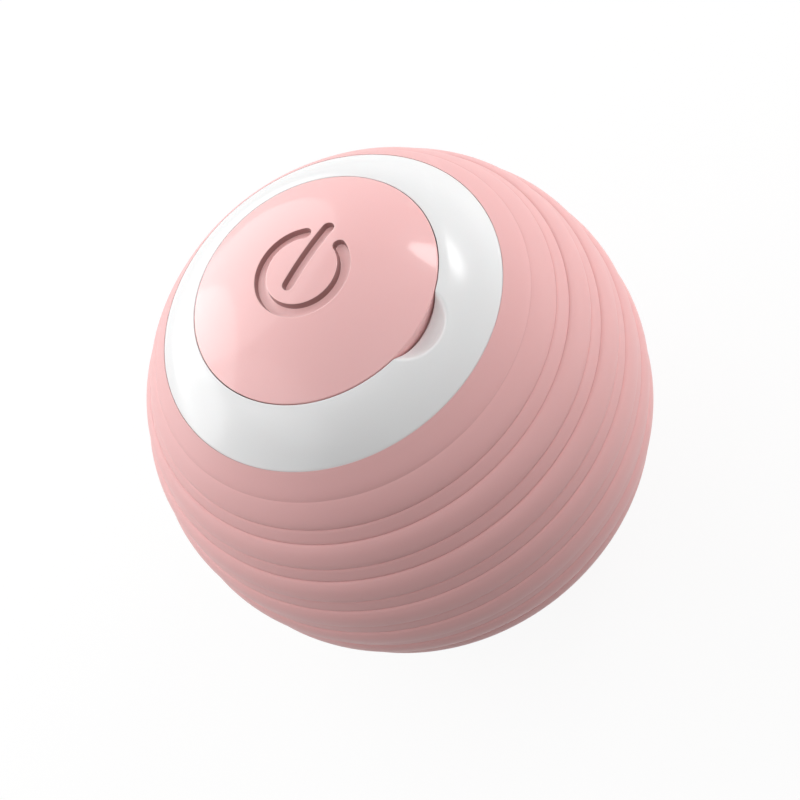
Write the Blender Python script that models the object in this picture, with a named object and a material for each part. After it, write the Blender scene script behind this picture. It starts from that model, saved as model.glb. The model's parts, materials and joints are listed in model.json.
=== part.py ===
"""Interactive cat ball: a hard ball in a ribbed sleeve, with a tethered press cap and a geared weight inside.

The ball's polar axis is +Z, and it stands on the small flat at its lower pole, where the origin is. The
finger notch looks towards -Y and the cap's tether is at +Y. All sizes are in metres.
"""

import math

import bmesh
import bpy
from mathutils import Matrix, Vector

TAU = 2 * math.pi

# Shared clearances
SEAT_GAP = 0.0003
FIT_GAP = 0.00012
OVERRUN = 0.0008
WELD = 0.0000005
CREASE_ANGLE = math.radians(40)
CREASE_ANGLES = {"sleeve": math.radians(18)}

# Base flat that the ball stands on
BASE_RADIUS = 0.0046
ROUND_STEPS = 32

# Press cap, seen from above as a disc inside the ring
CAP_SEAM = 0.00013
CAP_WALL = 0.0010
CAP_SIDE_HEIGHT = 0.0020
CAP_SKIRT_WALL = 0.0010
CAP_DRAFT = math.radians(10)
CAP_NOTCH_SIDE = 0.00115
CAP_NOTCH_REACH = 0.0024
CAP_NOTCH_ROOF = 0.00038
CAP_PIN_RADIUS = 0.0006
CAP_PIN_REACH = 0.0054
CAP_PIN_ANGLES = (math.radians(22), math.radians(158))
CAP_PIN_LIFT = 0.0004
CAP_BANDS = 5
CAP_ROOF_BANDS = 3

# Power symbol pressed into the cap
SYMBOL_RADIUS = 0.00335
SYMBOL_WIDTH = 0.00088
SYMBOL_DEPTH = 0.00045
SYMBOL_GAP_HALF = math.radians(29)
SYMBOL_BAR_OUT = 0.00385
SYMBOL_BAR_IN = -0.00130
SYMBOL_BAR_SHIFT = 0.0002
SYMBOL_END_SHARES = (0.95, 0.65)

# White ring, its well and its floor
RING_WIDTH = 0.00402
RING_CROWN = 0.00010
RING_CROWN_SHARES = ((0.00, 0.0), (0.20, 0.9), (0.45, 1.0), (0.68, 0.4), (0.87, -1.0), (1.00, -4.0))
WELL_DEPTH = 0.00342
FLOOR_WIDTH = 0.00243
FLOOR_WALL = 0.0015
WELL_WALL = 0.0012
RING_HOLLOW_DEPTH = 0.0028
SPIGOT_WALL = 0.0011
SPIGOT_DEPTH = 0.0015

# Finger notch in the ring
NOTCH_HALF_WIDTH = 0.00285
NOTCH_REACH = 0.00245
NOTCH_DEPTH = 0.00095
NOTCH_INSET = 0.00055

# Tether between the ring and the cap
TETHER_LENGTH = 0.0078
TETHER_INSET = 0.00103
TETHER_PIVOT_DROP = 0.00107
TETHER_FLOOR_GAP = 0.00025
TETHER_BEND = 0.00045
TETHER_WIDTH = 0.0028
TETHER_THICKNESS = 0.0008
BARREL_RADIUS = 0.00068
TRUNNION_RADIUS = 0.0004
TRUNNION_OVER = 0.00005
EAR_GAP = 0.0002
EAR_THICKNESS = 0.0009
EAR_REACH = 0.0008
EAR_RISE = 0.0006
EAR_DROP = 0.0009
LUG_RADIUS = 0.0009

# Button disc
DISC_SLIT = 0.0002
DISC_SLOT_MARGIN = 0.000265
DISC_WALL = 0.0010
DISC_SKIRT_WALL = 0.0008
DISC_CHAMFER = 0.00015
DISC_TAB_WIDTH = 0.0026
DISC_TAB_REACH = 0.0008
DISC_TAB_HEIGHT = 0.0006
DISC_TRAVEL = 0.0003
DISC_POST_RADIUS = 0.0009

# USB-C receptacle
USB_WIDTH = 0.00894
USB_DEPTH = 0.00326
USB_HEIGHT = 0.0063
USB_WALL = 0.0003
USB_OFFSET_Y = -0.0023
USB_RECESS = 0.0005
USB_SLOT_GAP = 0.00035
TONGUE_WIDTH = 0.0067
TONGUE_DEPTH = 0.0007
TONGUE_RECESS = 0.0007
TONGUE_BASE = 0.0014

# Circuit board and what stands on it
BOARD_RIM_GAP = 0.0015
BOARD_WALL = 0.0008
SOLDER_GAP = 0.0001
SWITCH_SIZE = 0.0044
SWITCH_HEIGHT = 0.0016
SWITCH_Y = 0.0038
PLUNGER_RADIUS = 0.0008
PLUNGER_RISE = 0.0005
PLUNGER_GAP = 0.00015
PLUNGER_WELL = 0.0009
CHIP_SIZE = (0.0060, 0.0050, 0.0010)
CHIP_PLACE = (-0.0092, 0.0032)
CHARGER_SIZE = (0.0030, 0.0030, 0.0009)
CHARGER_PLACE = (0.0090, 0.0050)
TILT_RADIUS = 0.0015
TILT_LENGTH = 0.0050
TILT_PLACE = (0.0020, -0.0105)
LED_SIZE = (0.0016, 0.0032, 0.0006)
LED_DOME = 0.0005
LED_INSET = 0.0026
LED_PLACE_Y = -0.0015
CHIP_EDGE = 0.00015

# Hard inner ball
SLEEVE_WALL = 0.0015
SLEEVE_MOUTH_GAP = 0.0001
SLEEVE_LIP = 0.0002
SHELL_WALL = 0.0012
SHELL_MOUTH_STEP = 0.00075
SHELL_STEPS = 24
LOWER_BANDS = 4
UPPER_BANDS = 3
LAP_HEIGHT = 0.0015
LAP_WALL = 0.0005
LAP_GAP = 0.00018

# Ribs of the sleeve, between a smooth band at its mouth and a narrow one at the base flat
RIB_COUNT = 12
RIB_TOP_BAND = 0.00242
RIB_FOOT_BAND = 0.00024
RIB_WIDE_SHARE = 0.65
RIB_WIDE_DEPTH = 0.00024
RIB_NARROW_DEPTH = 0.00009
RIB_FADE_SHARES = (0.30, 0.65, 0.92)
RIB_WIDE_STEPS = 3
RIB_NARROW_STEPS = 1
BAND_STEPS = 2

# Screws
WELL_SCREW_ANGLES = (math.radians(90), math.radians(210), math.radians(330))
SCREW_HEAD_RADIUS = 0.00105
SCREW_HEAD_HEIGHT = 0.0007
SCREW_SHANK_RADIUS = 0.0005
SCREW_CROSS_LENGTH = 0.0012
SCREW_CROSS_WIDTH = 0.00028
SCREW_CROSS_DEPTH = 0.00035
SCREW_BITE = 0.0036
SCREW_RECESS = 0.0010
SCREW_RIM = 0.00023
SCREW_STEPS = 10
SHAFT_STEPS = 12
BUSH_STEPS = 12
DISC_STEPS = 24
HOLE_STEPS = 8
BOSS_RADIUS = 0.0013
PILLAR_RADIUS = 0.0015

# Chassis deck, gearbox plate and their posts
DECK_GAP = 0.0008
DECK_WALL = 0.0012
DECK_RIM_GAP = 0.00095
DECK_WINDOW_RADIUS = 0.0026
DECK_WINDOW_INSET = 0.0050
DECK_WINDOW_ANGLE = math.radians(118)
PLATE_GAP = 0.0004
PLATE_WALL = 0.0012
PLATE_RIM_GAP = 0.00205
GEAR_POST_RADIUS = 0.0013
GEAR_POST_ANGLES = (math.radians(132), math.radians(-32), math.radians(45))
SHELL_POST_RADIUS = 0.0015
SHELL_POST_INSET = 0.0018
SHELL_POST_ANGLES = (math.radians(80), math.radians(200), math.radians(320))

# Gears
MODULE = 0.00045
PINION_TEETH = 9
WHEEL_TEETH = 22
PRESSURE_ANGLE = math.radians(25)
ADDENDUM_SHARE = 0.8
DEDENDUM_SHARE = 1.0
BACKLASH = 0.00005
PINION_FLANK_STEPS = 2
WHEEL_FLANK_STEPS = 1
WHEEL_WALL = 0.0013
WHEEL_GAP = 0.0004
LAYER_GAP = 0.0004
LAYER_COUNT = 3
GEAR_B_ANGLE = math.radians(-88)
GEAR_A_ANGLE = math.radians(161)
MOTOR_ANGLE = math.radians(119)
ARBOR_RADIUS = 0.0005
ARBOR_STEPS = 8
WEB_DEPTH = 0.0003
WEB_INNER = 0.0026
WEB_RIM = 0.0006

# Output shaft, bushes and weight
SHAFT_RADIUS = 0.0010
SHAFT_LIFT = 0.0006
BUSH_WALL = 0.0006
BUSH_FLANGE = 0.0006
BUSH_FLANGE_WALL = 0.0003
BASE_BOSS_HEIGHT = 0.0010
BASE_BOSS_WALL = 0.0007
WEIGHT_GAP = 0.00038
WEIGHT_HEIGHT = 0.0030
WEIGHT_RIM_GAP = 0.00045
WEIGHT_HUB_RADIUS = 0.0028
WEIGHT_STEPS = 24
GRUB_RADIUS = 0.0006
GRUB_LENGTH = 0.0014
GRUB_SOCKET = 0.0003
GRUB_SOCKET_DEPTH = 0.0005

# Motor
MOTOR_RADIUS = 0.0035
MOTOR_FLAT = 0.0029
MOTOR_LENGTH = 0.0083
MOTOR_BELL = 0.0011
MOTOR_BELL_GAP = 0.00015
MOTOR_HEADROOM = 0.0021
MOTOR_NOSE_RADIUS = 0.0011
MOTOR_NOSE = 0.0008
MOTOR_SHAFT_RADIUS = 0.0005
MOTOR_PINION_OVER = 0.0002
TERMINAL_SIZE = (0.0004, 0.0012, 0.0006)
TERMINAL_SPREAD = 0.0018
COLLAR_WALL = 0.0008
COLLAR_HEIGHT = 0.0040

# Battery and its leads
BATTERY_SIZE = (0.0118, 0.0136, 0.0068)
BATTERY_CORNER = (0.0018, -0.0024)
BATTERY_EDGE = 0.0009
PAD_WALL = 0.0005
PAD_MARGIN = 0.0010
SOCKET_SIZE = (0.0050, 0.0034, 0.0024)
SOCKET_X = 0.0062
SOCKET_INSET = 0.0030
SOCKET_PIN_SPREAD = 0.0010
LEAD_RADIUS = 0.00035
LEAD_RISE = 0.0016
LEAD_BACK = 0.0030
MOTOR_LEAD_REACH = 0.0030

# Levels above the ball's lowest point, one on another
LAYER_PITCH = WHEEL_WALL + WHEEL_GAP
SHAFT_FOOT_RISE = SLEEVE_WALL + SEAT_GAP + SHELL_WALL + SHAFT_LIFT
BASE_BOSS_RISE = SHAFT_FOOT_RISE + BASE_BOSS_HEIGHT
WEIGHT_RISE = BASE_BOSS_RISE + FIT_GAP + BUSH_FLANGE_WALL + WEIGHT_GAP
PLATE_RISE = WEIGHT_RISE + WEIGHT_HEIGHT + PLATE_GAP
LAYER_RISE = PLATE_RISE + PLATE_WALL + LAYER_GAP
DECK_RISE = LAYER_RISE + LAYER_COUNT * LAYER_PITCH + DECK_GAP
BELL_RISE = DECK_RISE + DECK_WALL + SEAT_GAP + MOTOR_LENGTH + MOTOR_BELL_GAP + MOTOR_BELL
BOARD_RISE = BELL_RISE + MOTOR_HEADROOM
FLOOR_RISE = BOARD_RISE + BOARD_WALL + SOLDER_GAP + USB_HEIGHT + USB_RECESS
MOUTH_RISE = FLOOR_RISE + WELL_DEPTH

# Disc, well and cap, one around another from the socket's slot outwards
SLOT_WIDTH = USB_WIDTH + 2 * USB_SLOT_GAP
SLOT_DEPTH = USB_DEPTH + 2 * USB_SLOT_GAP
SLOT_REACH = math.hypot((SLOT_WIDTH - SLOT_DEPTH) / 2, USB_OFFSET_Y) + SLOT_DEPTH / 2
DISC_RADIUS = SLOT_REACH + DISC_SLOT_MARGIN + DISC_SKIRT_WALL
WELL_SCREW_REACH = DISC_RADIUS + DISC_SLIT + SCREW_RIM + SCREW_HEAD_RADIUS + FIT_GAP
WELL_FOOT_RADIUS = DISC_RADIUS + DISC_SLIT + FLOOR_WIDTH
MOUTH_RADIUS = WELL_FOOT_RADIUS + WELL_DEPTH * math.tan(CAP_DRAFT)
CAP_RADIUS = MOUTH_RADIUS - CAP_SEAM
RING_RADIUS = MOUTH_RADIUS + RING_WIDTH

# The ball closes round the stack, and passes through the ring's mouth
BALL_RADIUS = (MOUTH_RISE**2 + MOUTH_RADIUS**2) / (2 * MOUTH_RISE)
CENTRE_Z = math.sqrt(BALL_RADIUS**2 - BASE_RADIUS**2)
FLAT_SINK = BALL_RADIUS - CENTRE_Z
SLEEVE_INNER = BALL_RADIUS - SLEEVE_WALL
SHELL_RADIUS = SLEEVE_INNER - SEAT_GAP
SHELL_INNER = SHELL_RADIUS - SHELL_WALL
SHELL_MOUTH = RING_RADIUS - SHELL_MOUTH_STEP
RIB_START = math.asin(RING_RADIUS / BALL_RADIUS) + RIB_TOP_BAND / BALL_RADIUS
RIB_END = math.pi - math.asin(BASE_RADIUS / BALL_RADIUS) - RIB_FOOT_BAND / BALL_RADIUS

# The same levels above the base flat
SHAFT_FOOT_Z = SHAFT_FOOT_RISE - FLAT_SINK
BASE_BOSS_TOP_Z = BASE_BOSS_RISE - FLAT_SINK
WEIGHT_Z = WEIGHT_RISE - FLAT_SINK
PLATE_Z = PLATE_RISE - FLAT_SINK
LAYER_Z = LAYER_RISE - FLAT_SINK
DECK_Z = DECK_RISE - FLAT_SINK
DECK_TOP_Z = DECK_Z + DECK_WALL
BOARD_Z = BOARD_RISE - FLAT_SINK
BOARD_TOP_Z = BOARD_Z + BOARD_WALL
FLOOR_Z = FLOOR_RISE - FLAT_SINK
USB_TOP_Z = FLOOR_Z - USB_RECESS
RING_EDGE_Z = MOUTH_RISE - FLAT_SINK
WELL_SCREW_SEAT_Z = FLOOR_Z - SCREW_RECESS

# Strap between the ring and the cap
PIVOT_Z = RING_EDGE_Z - TETHER_PIVOT_DROP
ANCHOR_Y = MOUTH_RADIUS - TETHER_INSET
CAP_PIVOT_Y = ANCHOR_Y - TETHER_LENGTH
TETHER_SAG = PIVOT_Z - FLOOR_Z - TETHER_THICKNESS / 2 - TETHER_FLOOR_GAP
TRUNNION_LENGTH = TETHER_WIDTH + 2 * (EAR_GAP + EAR_THICKNESS + TRUNNION_OVER)
CAP_NOTCH_WIDTH = TRUNNION_LENGTH + 2 * CAP_NOTCH_SIDE


def room(height, gap):
    """How far from the axis the hard ball's inside lies at a height, less a gap."""
    return math.sqrt(SHELL_INNER**2 - (CENTRE_Z - height) ** 2) - gap


# Plates that fill the ball's inside at their level
DECK_RADIUS = room(DECK_Z, DECK_RIM_GAP)
DECK_WINDOW_REACH = DECK_RADIUS - DECK_WINDOW_INSET
SHELL_POST_REACH = DECK_RADIUS - SHELL_POST_INSET
PLATE_RADIUS = room(PLATE_Z, PLATE_RIM_GAP)
GEAR_POST_REACH = PLATE_RADIUS - GEAR_POST_RADIUS
BOARD_RADIUS = room(BOARD_TOP_Z, BOARD_RIM_GAP)
LED_PLACE_X = BOARD_RADIUS - LED_INSET
SOCKET_PLACE = (SOCKET_X, BOARD_RADIUS - SOCKET_INSET)
GEAR_DISTANCE = MODULE * (PINION_TEETH + WHEEL_TEETH) / 2
WEB_OUTER = MODULE * (WHEEL_TEETH / 2 - DEDENDUM_SHARE) - WEB_RIM


def polar(radius, angle, start=(0.0, 0.0)):
    """The point at this distance and bearing from start, in plan."""
    return start[0] + radius * math.cos(angle), start[1] + radius * math.sin(angle)


GEAR_B_PLACE = polar(GEAR_DISTANCE, GEAR_B_ANGLE)
GEAR_A_PLACE = polar(GEAR_DISTANCE, GEAR_A_ANGLE, GEAR_B_PLACE)
MOTOR_PLACE = polar(GEAR_DISTANCE, MOTOR_ANGLE, GEAR_A_PLACE)
GEAR_POST_PLACES = tuple(polar(GEAR_POST_REACH, angle) for angle in GEAR_POST_ANGLES)


# Shapes


def add_turned(bm, outline, steps, place=(0.0, 0.0), frame=None):
    """Adds a solid of revolution about +Z. The outline holds (radius, height) points.

    It closes on itself, or on the axis where both of its ends lie there. A frame turns and moves the result.
    Its edges start half a step from +X, so that none lies in a plane of symmetry.
    """
    old = set(bm.verts)
    verts = [bm.verts.new((radius, 0.0, height)) for radius, height in outline]
    edges = [bm.edges.new(pair) for pair in zip(verts, verts[1:])]
    if outline[0][0] > 0 or outline[-1][0] > 0:
        edges.append(bm.edges.new((verts[-1], verts[0])))
    bmesh.ops.spin(
        bm, geom=verts + edges, cent=(0, 0, 0), axis=(0, 0, 1), angle=TAU, steps=steps, use_merge=True
    )
    bmesh.ops.remove_doubles(bm, verts=[vert for vert in bm.verts if vert not in old], dist=WELD)
    placed = (frame or Matrix.Translation((place[0], place[1], 0))) @ Matrix.Rotation(math.pi / steps, 4, "Z")
    bmesh.ops.transform(bm, matrix=placed, verts=[vert for vert in bm.verts if vert not in old])


def add_prism(bm, outline, low, high, frame=None):
    """Adds a prism with this plan outline between two heights."""
    old = set(bm.verts)
    face = bm.faces.new([bm.verts.new((x, y, low)) for x, y in outline])
    grown = bmesh.ops.extrude_face_region(bm, geom=[face])
    moved = [item for item in grown["geom"] if isinstance(item, bmesh.types.BMVert)]
    bmesh.ops.translate(bm, vec=(0, 0, high - low), verts=moved)
    if frame:
        bmesh.ops.transform(bm, matrix=frame, verts=[vert for vert in bm.verts if vert not in old])


def add_rod(bm, radius, low, high, steps, place=(0.0, 0.0), frame=None):
    """Adds a plain upright cylinder."""
    add_turned(bm, [(0.0, high), (radius, high), (radius, low), (0.0, low)], steps, place, frame)


def add_block(bm, size, centre, turn=0.0):
    """Adds a box of this size about its centre."""
    placed = Matrix.Translation(centre) @ Matrix.Rotation(turn, 4, "Z") @ Matrix.Diagonal((*size, 1))
    bmesh.ops.create_cube(bm, size=1, matrix=placed)


def circle(radius, steps, centre=(0.0, 0.0)):
    return [polar(radius, TAU * step / steps, centre) for step in range(steps)]


def slot_outline(width, depth, steps, centre=(0.0, 0.0)):
    """A slot with round ends, along X."""
    radius = depth / 2
    reach = width / 2 - radius
    points = []
    for side, start in ((1, -math.pi / 2), (-1, math.pi / 2)):
        end = (centre[0] + side * reach, centre[1])
        points += [polar(radius, start + math.pi * step / steps, end) for step in range(steps + 1)]
    return points


def ribbon(path, half_width):
    """The outline of a strip of even width along a path, with square ends."""
    points = [Vector(point) for point in path]
    left, right = [], []
    for index, point in enumerate(points):
        before = point - points[index - 1] if index else points[1] - point
        after = points[index + 1] - point if index < len(points) - 1 else before
        middle = before.normalized() + after.normalized()
        middle.normalize()
        across = Vector((-middle.y, middle.x))
        stretch = half_width / max(middle.dot(before.normalized()), 0.5)
        left.append(tuple(point + across * stretch))
        right.append(tuple(point - across * stretch))
    return left + right[::-1]


def sphere_point(radius, angle):
    """(distance from the axis, height) on a sphere about the ball's centre, by angle from the upper pole."""
    return radius * math.sin(angle), CENTRE_Z + radius * math.cos(angle)


def sphere_top(radius, distance):
    """Height of the upper half of a sphere about the ball's centre, at a distance from the axis."""
    return CENTRE_Z + math.sqrt(radius**2 - distance**2)


def sphere_foot(radius, distance):
    """Height of its lower half."""
    return CENTRE_Z - math.sqrt(radius**2 - distance**2)


def arc(radius, start, end, count):
    """Points on a sphere's meridian between two angles, both ends included."""
    return [sphere_point(radius, start + (end - start) * step / count) for step in range(count + 1)]


# Objects


def finish(name, colour, roughness, metallic=0.0):
    """A Principled material of one colour."""
    made = bpy.data.materials.new(name)
    made.use_nodes = True
    shader = made.node_tree.nodes["Principled BSDF"]
    shader.inputs["Base Color"].default_value = (*colour, 1)
    shader.inputs["Roughness"].default_value = roughness
    shader.inputs["Metallic"].default_value = metallic
    made.diffuse_color = (*colour, 1)
    return made


def solid(name, bm, material=None, origin=(0.0, 0.0, 0.0), turn=0.0):
    """Makes the mesh an object whose origin is at the point given, in world space."""
    bmesh.ops.translate(bm, vec=-Vector(origin), verts=bm.verts)
    bmesh.ops.recalc_face_normals(bm, faces=bm.faces)
    mesh = bpy.data.meshes.new(name)
    bm.to_mesh(mesh)
    bm.free()
    item = bpy.data.objects.new(name, mesh)
    item.location = origin
    item.rotation_euler.z = turn
    bpy.context.scene.collection.objects.link(item)
    if material:
        mesh.materials.append(material)
    return item


def helper(name, bm, place=None, **placed):
    """A cutter or an added shape, which isn't rendered by itself. A place moves it there."""
    item = solid(name, bm, **placed)
    if place:
        item.location = place
    item.hide_render = True
    item.display_type = "WIRE"
    return item


def combine(item, other, operation):
    step = item.modifiers.new(f"{operation.lower()} {other.name}", "BOOLEAN")
    step.operation = operation
    step.solver = "EXACT"
    step.object = other
    return item


def cut(item, other):
    return combine(item, other, "DIFFERENCE")


def join(item, other):
    return combine(item, other, "UNION")


def soften(item, width):
    """A small chamfer on the sharp edges."""
    step = item.modifiers.new("edges", "BEVEL")
    step.width = width
    step.segments = 1
    step.limit_method = "ANGLE"
    return item


def settle():
    """Applies every modifier, removes the helpers, and shades smooth all but the edges."""
    graph = bpy.context.evaluated_depsgraph_get()
    shapes = [item for item in bpy.data.objects if item.type == "MESH" and not item.hide_render]
    for item in shapes:
        item.data = bpy.data.meshes.new_from_object(item.evaluated_get(graph), depsgraph=graph)
        item.data.shade_smooth()
        item.data.set_sharp_from_angle(angle=CREASE_ANGLES.get(item.name, CREASE_ANGLE))
    for item in shapes:
        item.modifiers.clear()
    for item in [item for item in bpy.data.objects if item.hide_render]:
        bpy.data.objects.remove(item)


def screw(name, place, seat_z, length, material, down=True):
    """A pan-head screw. Its head seats at seat_z and its shank points down, or up."""
    head_foot = FIT_GAP
    head_top = head_foot + SCREW_HEAD_HEIGHT
    edge = SCREW_HEAD_HEIGHT / 4
    outline = [
        (0.0, head_top), (SCREW_HEAD_RADIUS - edge, head_top), (SCREW_HEAD_RADIUS, head_foot),
        (SCREW_SHANK_RADIUS, head_foot), (SCREW_SHANK_RADIUS, -length), (0.0, -length),
    ]
    frame = Matrix.Translation((*place, seat_z))
    if not down:
        frame = frame @ Matrix.Rotation(math.pi, 4, "X")
    bm = bmesh.new()
    add_turned(bm, outline, SCREW_STEPS, frame=frame)
    return solid(name, bm, material, origin=(*place, seat_z))


def recess(item):
    """Cuts a cross into the head of an upright screw."""
    bm = bmesh.new()
    head_top = FIT_GAP + SCREW_HEAD_HEIGHT
    add_prism(bm, cross_outline(), head_top - SCREW_CROSS_DEPTH, head_top + OVERRUN)
    return cut(item, helper(f"{item.name} recess", bm, place=item.location))


def cross_outline():
    """A plus sign."""
    reach, half = SCREW_CROSS_LENGTH / 2, SCREW_CROSS_WIDTH / 2
    arm = [(reach, -half), (reach, half), (half, half)]
    turns = [(1, 0), (0, 1), (-1, 0), (0, -1)]
    return [(x * c - y * s, x * s + y * c) for c, s in turns for x, y in arm]


# Sleeve and hard ball


def rib_outline():
    """The sleeve's outside below the smooth band: hollow flutes, wide and narrow in turn, with sharp ridges."""
    points = []
    pitch = (RIB_END - RIB_START) / RIB_COUNT
    for rib in range(RIB_COUNT):
        fade = RIB_FADE_SHARES[rib] if rib < len(RIB_FADE_SHARES) else 1
        start = RIB_START + rib * pitch
        flutes = (
            (start, pitch * RIB_WIDE_SHARE, RIB_WIDE_DEPTH, RIB_WIDE_STEPS),
            (start + pitch * RIB_WIDE_SHARE, pitch * (1 - RIB_WIDE_SHARE), RIB_NARROW_DEPTH, RIB_NARROW_STEPS),
        )
        for first, width, depth, count in flutes:
            for step in range(count):
                share = step / count
                hollow = 4 * share * (1 - share) * depth * fade
                points.append(sphere_point(BALL_RADIUS - hollow, first + width * share))
    points.append(sphere_point(BALL_RADIUS, RIB_END))
    return points


def make_sleeve(material):
    mouth = RING_RADIUS + SLEEVE_MOUTH_GAP
    mouth_angle = math.asin((mouth + SLEEVE_LIP) / BALL_RADIUS)
    inner_angle = math.asin(mouth / SLEEVE_INNER)
    outline = arc(SLEEVE_INNER, math.pi, math.pi / 2, LOWER_BANDS)
    outline += arc(SLEEVE_INNER, math.pi / 2, inner_angle, UPPER_BANDS)[1:]
    outline[0] = (0.0, outline[0][1])
    outline.append((mouth, sphere_top(BALL_RADIUS, mouth) - SLEEVE_LIP))
    outline += arc(BALL_RADIUS, mouth_angle, RIB_START, BAND_STEPS)[:-1]
    outline += rib_outline()
    outline += [(BASE_RADIUS, 0.0), (0.0, 0.0)]
    bm = bmesh.new()
    add_turned(bm, outline, ROUND_STEPS)
    return solid("sleeve", bm, material)


def make_shell_front(material):
    """Upper half of the hard ball: open at the top for the bezel, rebated inside for the lap joint."""
    rebate = SHELL_RADIUS - SHELL_WALL + LAP_WALL + LAP_GAP
    low = CENTRE_Z + FIT_GAP
    rebate_top = low + LAP_HEIGHT + LAP_GAP
    rebate_angle = math.acos((rebate_top - CENTRE_Z) / SHELL_INNER)
    outer_angle = math.asin(SHELL_MOUTH / SHELL_RADIUS)
    inner_angle = math.asin(SHELL_MOUTH / SHELL_INNER)
    outline = arc(SHELL_RADIUS, outer_angle, math.pi / 2 - FIT_GAP / SHELL_RADIUS, UPPER_BANDS)
    outline += [(rebate, low), (rebate, rebate_top)]
    outline += arc(SHELL_INNER, rebate_angle, inner_angle, UPPER_BANDS)
    bm = bmesh.new()
    add_turned(bm, outline, SHELL_STEPS)
    return solid("shell_front", bm, material)


def make_shell_rear(material):
    """Lower half of the hard ball, with its lap, the deck's posts and the boss for the shaft's foot."""
    high = CENTRE_Z - FIT_GAP
    lap_radius = SHELL_INNER + LAP_WALL
    lap_top = CENTRE_Z + LAP_HEIGHT
    outline = arc(SHELL_RADIUS, math.pi / 2 + FIT_GAP / SHELL_RADIUS, math.pi, LOWER_BANDS)
    outline[-1] = (0.0, outline[-1][1])
    inner = arc(SHELL_INNER, math.pi, math.pi / 2, LOWER_BANDS)
    inner[0] = (0.0, inner[0][1])
    outline = inner + [(inner[-1][0], lap_top), (lap_radius, lap_top), (lap_radius, high)] + outline
    bm = bmesh.new()
    add_turned(bm, outline, SHELL_STEPS)
    item = solid("shell_rear", bm, material)
    bm = bmesh.new()
    for angle in SHELL_POST_ANGLES:
        foot = sphere_foot(SHELL_INNER, SHELL_POST_REACH + SHELL_POST_RADIUS) - SHELL_WALL / 2
        foot = max(foot, sphere_foot(SHELL_RADIUS, SHELL_POST_REACH - SHELL_POST_RADIUS) + SHELL_WALL / 3)
        place = polar(SHELL_POST_REACH, angle)
        add_rod(bm, SHELL_POST_RADIUS, foot, DECK_Z - SEAT_GAP, HOLE_STEPS, place)
    bush_radius = SHAFT_RADIUS + FIT_GAP + BUSH_WALL
    boss_radius = bush_radius + FIT_GAP + BASE_BOSS_WALL
    add_rod(bm, boss_radius, sphere_foot(SHELL_RADIUS, 0.0) + SHELL_WALL / 2, BASE_BOSS_TOP_Z, BUSH_STEPS)
    join(item, helper("shell posts", bm))
    bm = bmesh.new()
    for angle in SHELL_POST_ANGLES:
        low = DECK_Z - SEAT_GAP - SCREW_BITE
        add_rod(bm, SCREW_SHANK_RADIUS + FIT_GAP, low, DECK_Z + OVERRUN, HOLE_STEPS, polar(SHELL_POST_REACH, angle))
    hole_foot = SHAFT_FOOT_Z - 2 * FIT_GAP
    add_rod(bm, bush_radius + FIT_GAP, hole_foot, BASE_BOSS_TOP_Z + OVERRUN, BUSH_STEPS)
    return cut(item, helper("shell holes", bm))


# Bezel


def bezel_outline():
    crown = []
    for share, lift_share in RING_CROWN_SHARES:
        distance = MOUTH_RADIUS + RING_WIDTH * share
        crown.append((distance, sphere_top(BALL_RADIUS, distance) + RING_CROWN * lift_share))
    spigot = SHELL_MOUTH - FIT_GAP
    spigot_z = sphere_top(SHELL_INNER, SHELL_MOUTH) - SPIGOT_DEPTH / 3
    hollow_z = RING_EDGE_Z - RING_HOLLOW_DEPTH
    hole = DISC_RADIUS + DISC_SLIT
    return [
        (hole, FLOOR_Z), (WELL_FOOT_RADIUS, FLOOR_Z), *crown,
        (RING_RADIUS, sphere_top(SHELL_RADIUS, RING_RADIUS) + SEAT_GAP),
        (spigot, sphere_top(SHELL_RADIUS, spigot) + SEAT_GAP),
        (spigot, spigot_z), (spigot - SPIGOT_WALL, spigot_z), (spigot - SPIGOT_WALL, hollow_z),
        (MOUTH_RADIUS + WELL_WALL / 2, hollow_z), (WELL_FOOT_RADIUS + WELL_WALL, FLOOR_Z - FLOOR_WALL),
        (hole, FLOOR_Z - FLOOR_WALL),
    ]


def make_bezel(material):
    bm = bmesh.new()
    add_turned(bm, bezel_outline(), ROUND_STEPS)
    item = solid("bezel", bm, material)
    bm = bmesh.new()
    boss_foot = BOARD_TOP_Z + SEAT_GAP
    for angle in WELL_SCREW_ANGLES:
        place = polar(WELL_SCREW_REACH, angle)
        add_rod(bm, BOSS_RADIUS, boss_foot, FLOOR_Z - FLOOR_WALL / 2, HOLE_STEPS, place)
    for side in (-1, 1):
        inner = TETHER_WIDTH / 2 + EAR_GAP
        depth = MOUTH_RADIUS + WELL_WALL / 4 - (ANCHOR_Y - EAR_REACH)
        size = (EAR_THICKNESS, depth, EAR_RISE + EAR_DROP)
        middle_z = PIVOT_Z + (EAR_RISE - EAR_DROP) / 2
        add_block(bm, size, (side * (inner + EAR_THICKNESS / 2), ANCHOR_Y - EAR_REACH + depth / 2, middle_z))
    join(item, helper("bezel bosses", bm))
    low, high = boss_foot - OVERRUN, FLOOR_Z + OVERRUN
    shank, head = SCREW_SHANK_RADIUS + FIT_GAP, SCREW_HEAD_RADIUS + FIT_GAP
    outline = [
        (0.0, high), (head, high), (head, WELL_SCREW_SEAT_Z), (shank, WELL_SCREW_SEAT_Z), (shank, low), (0.0, low)
    ]
    bm = bmesh.new()
    for angle in WELL_SCREW_ANGLES:
        add_turned(bm, outline, SCREW_STEPS, polar(WELL_SCREW_REACH, angle))
    pin_frame = Matrix.Translation((0, ANCHOR_Y, PIVOT_Z)) @ Matrix.Rotation(math.pi / 2, 4, "Y")
    half = TRUNNION_LENGTH / 2 + FIT_GAP
    add_rod(bm, TRUNNION_RADIUS + FIT_GAP, -half, half, HOLE_STEPS, frame=pin_frame)
    cut(item, helper("bezel recesses", bm))
    return cut(item, make_notch_cutter())


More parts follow.
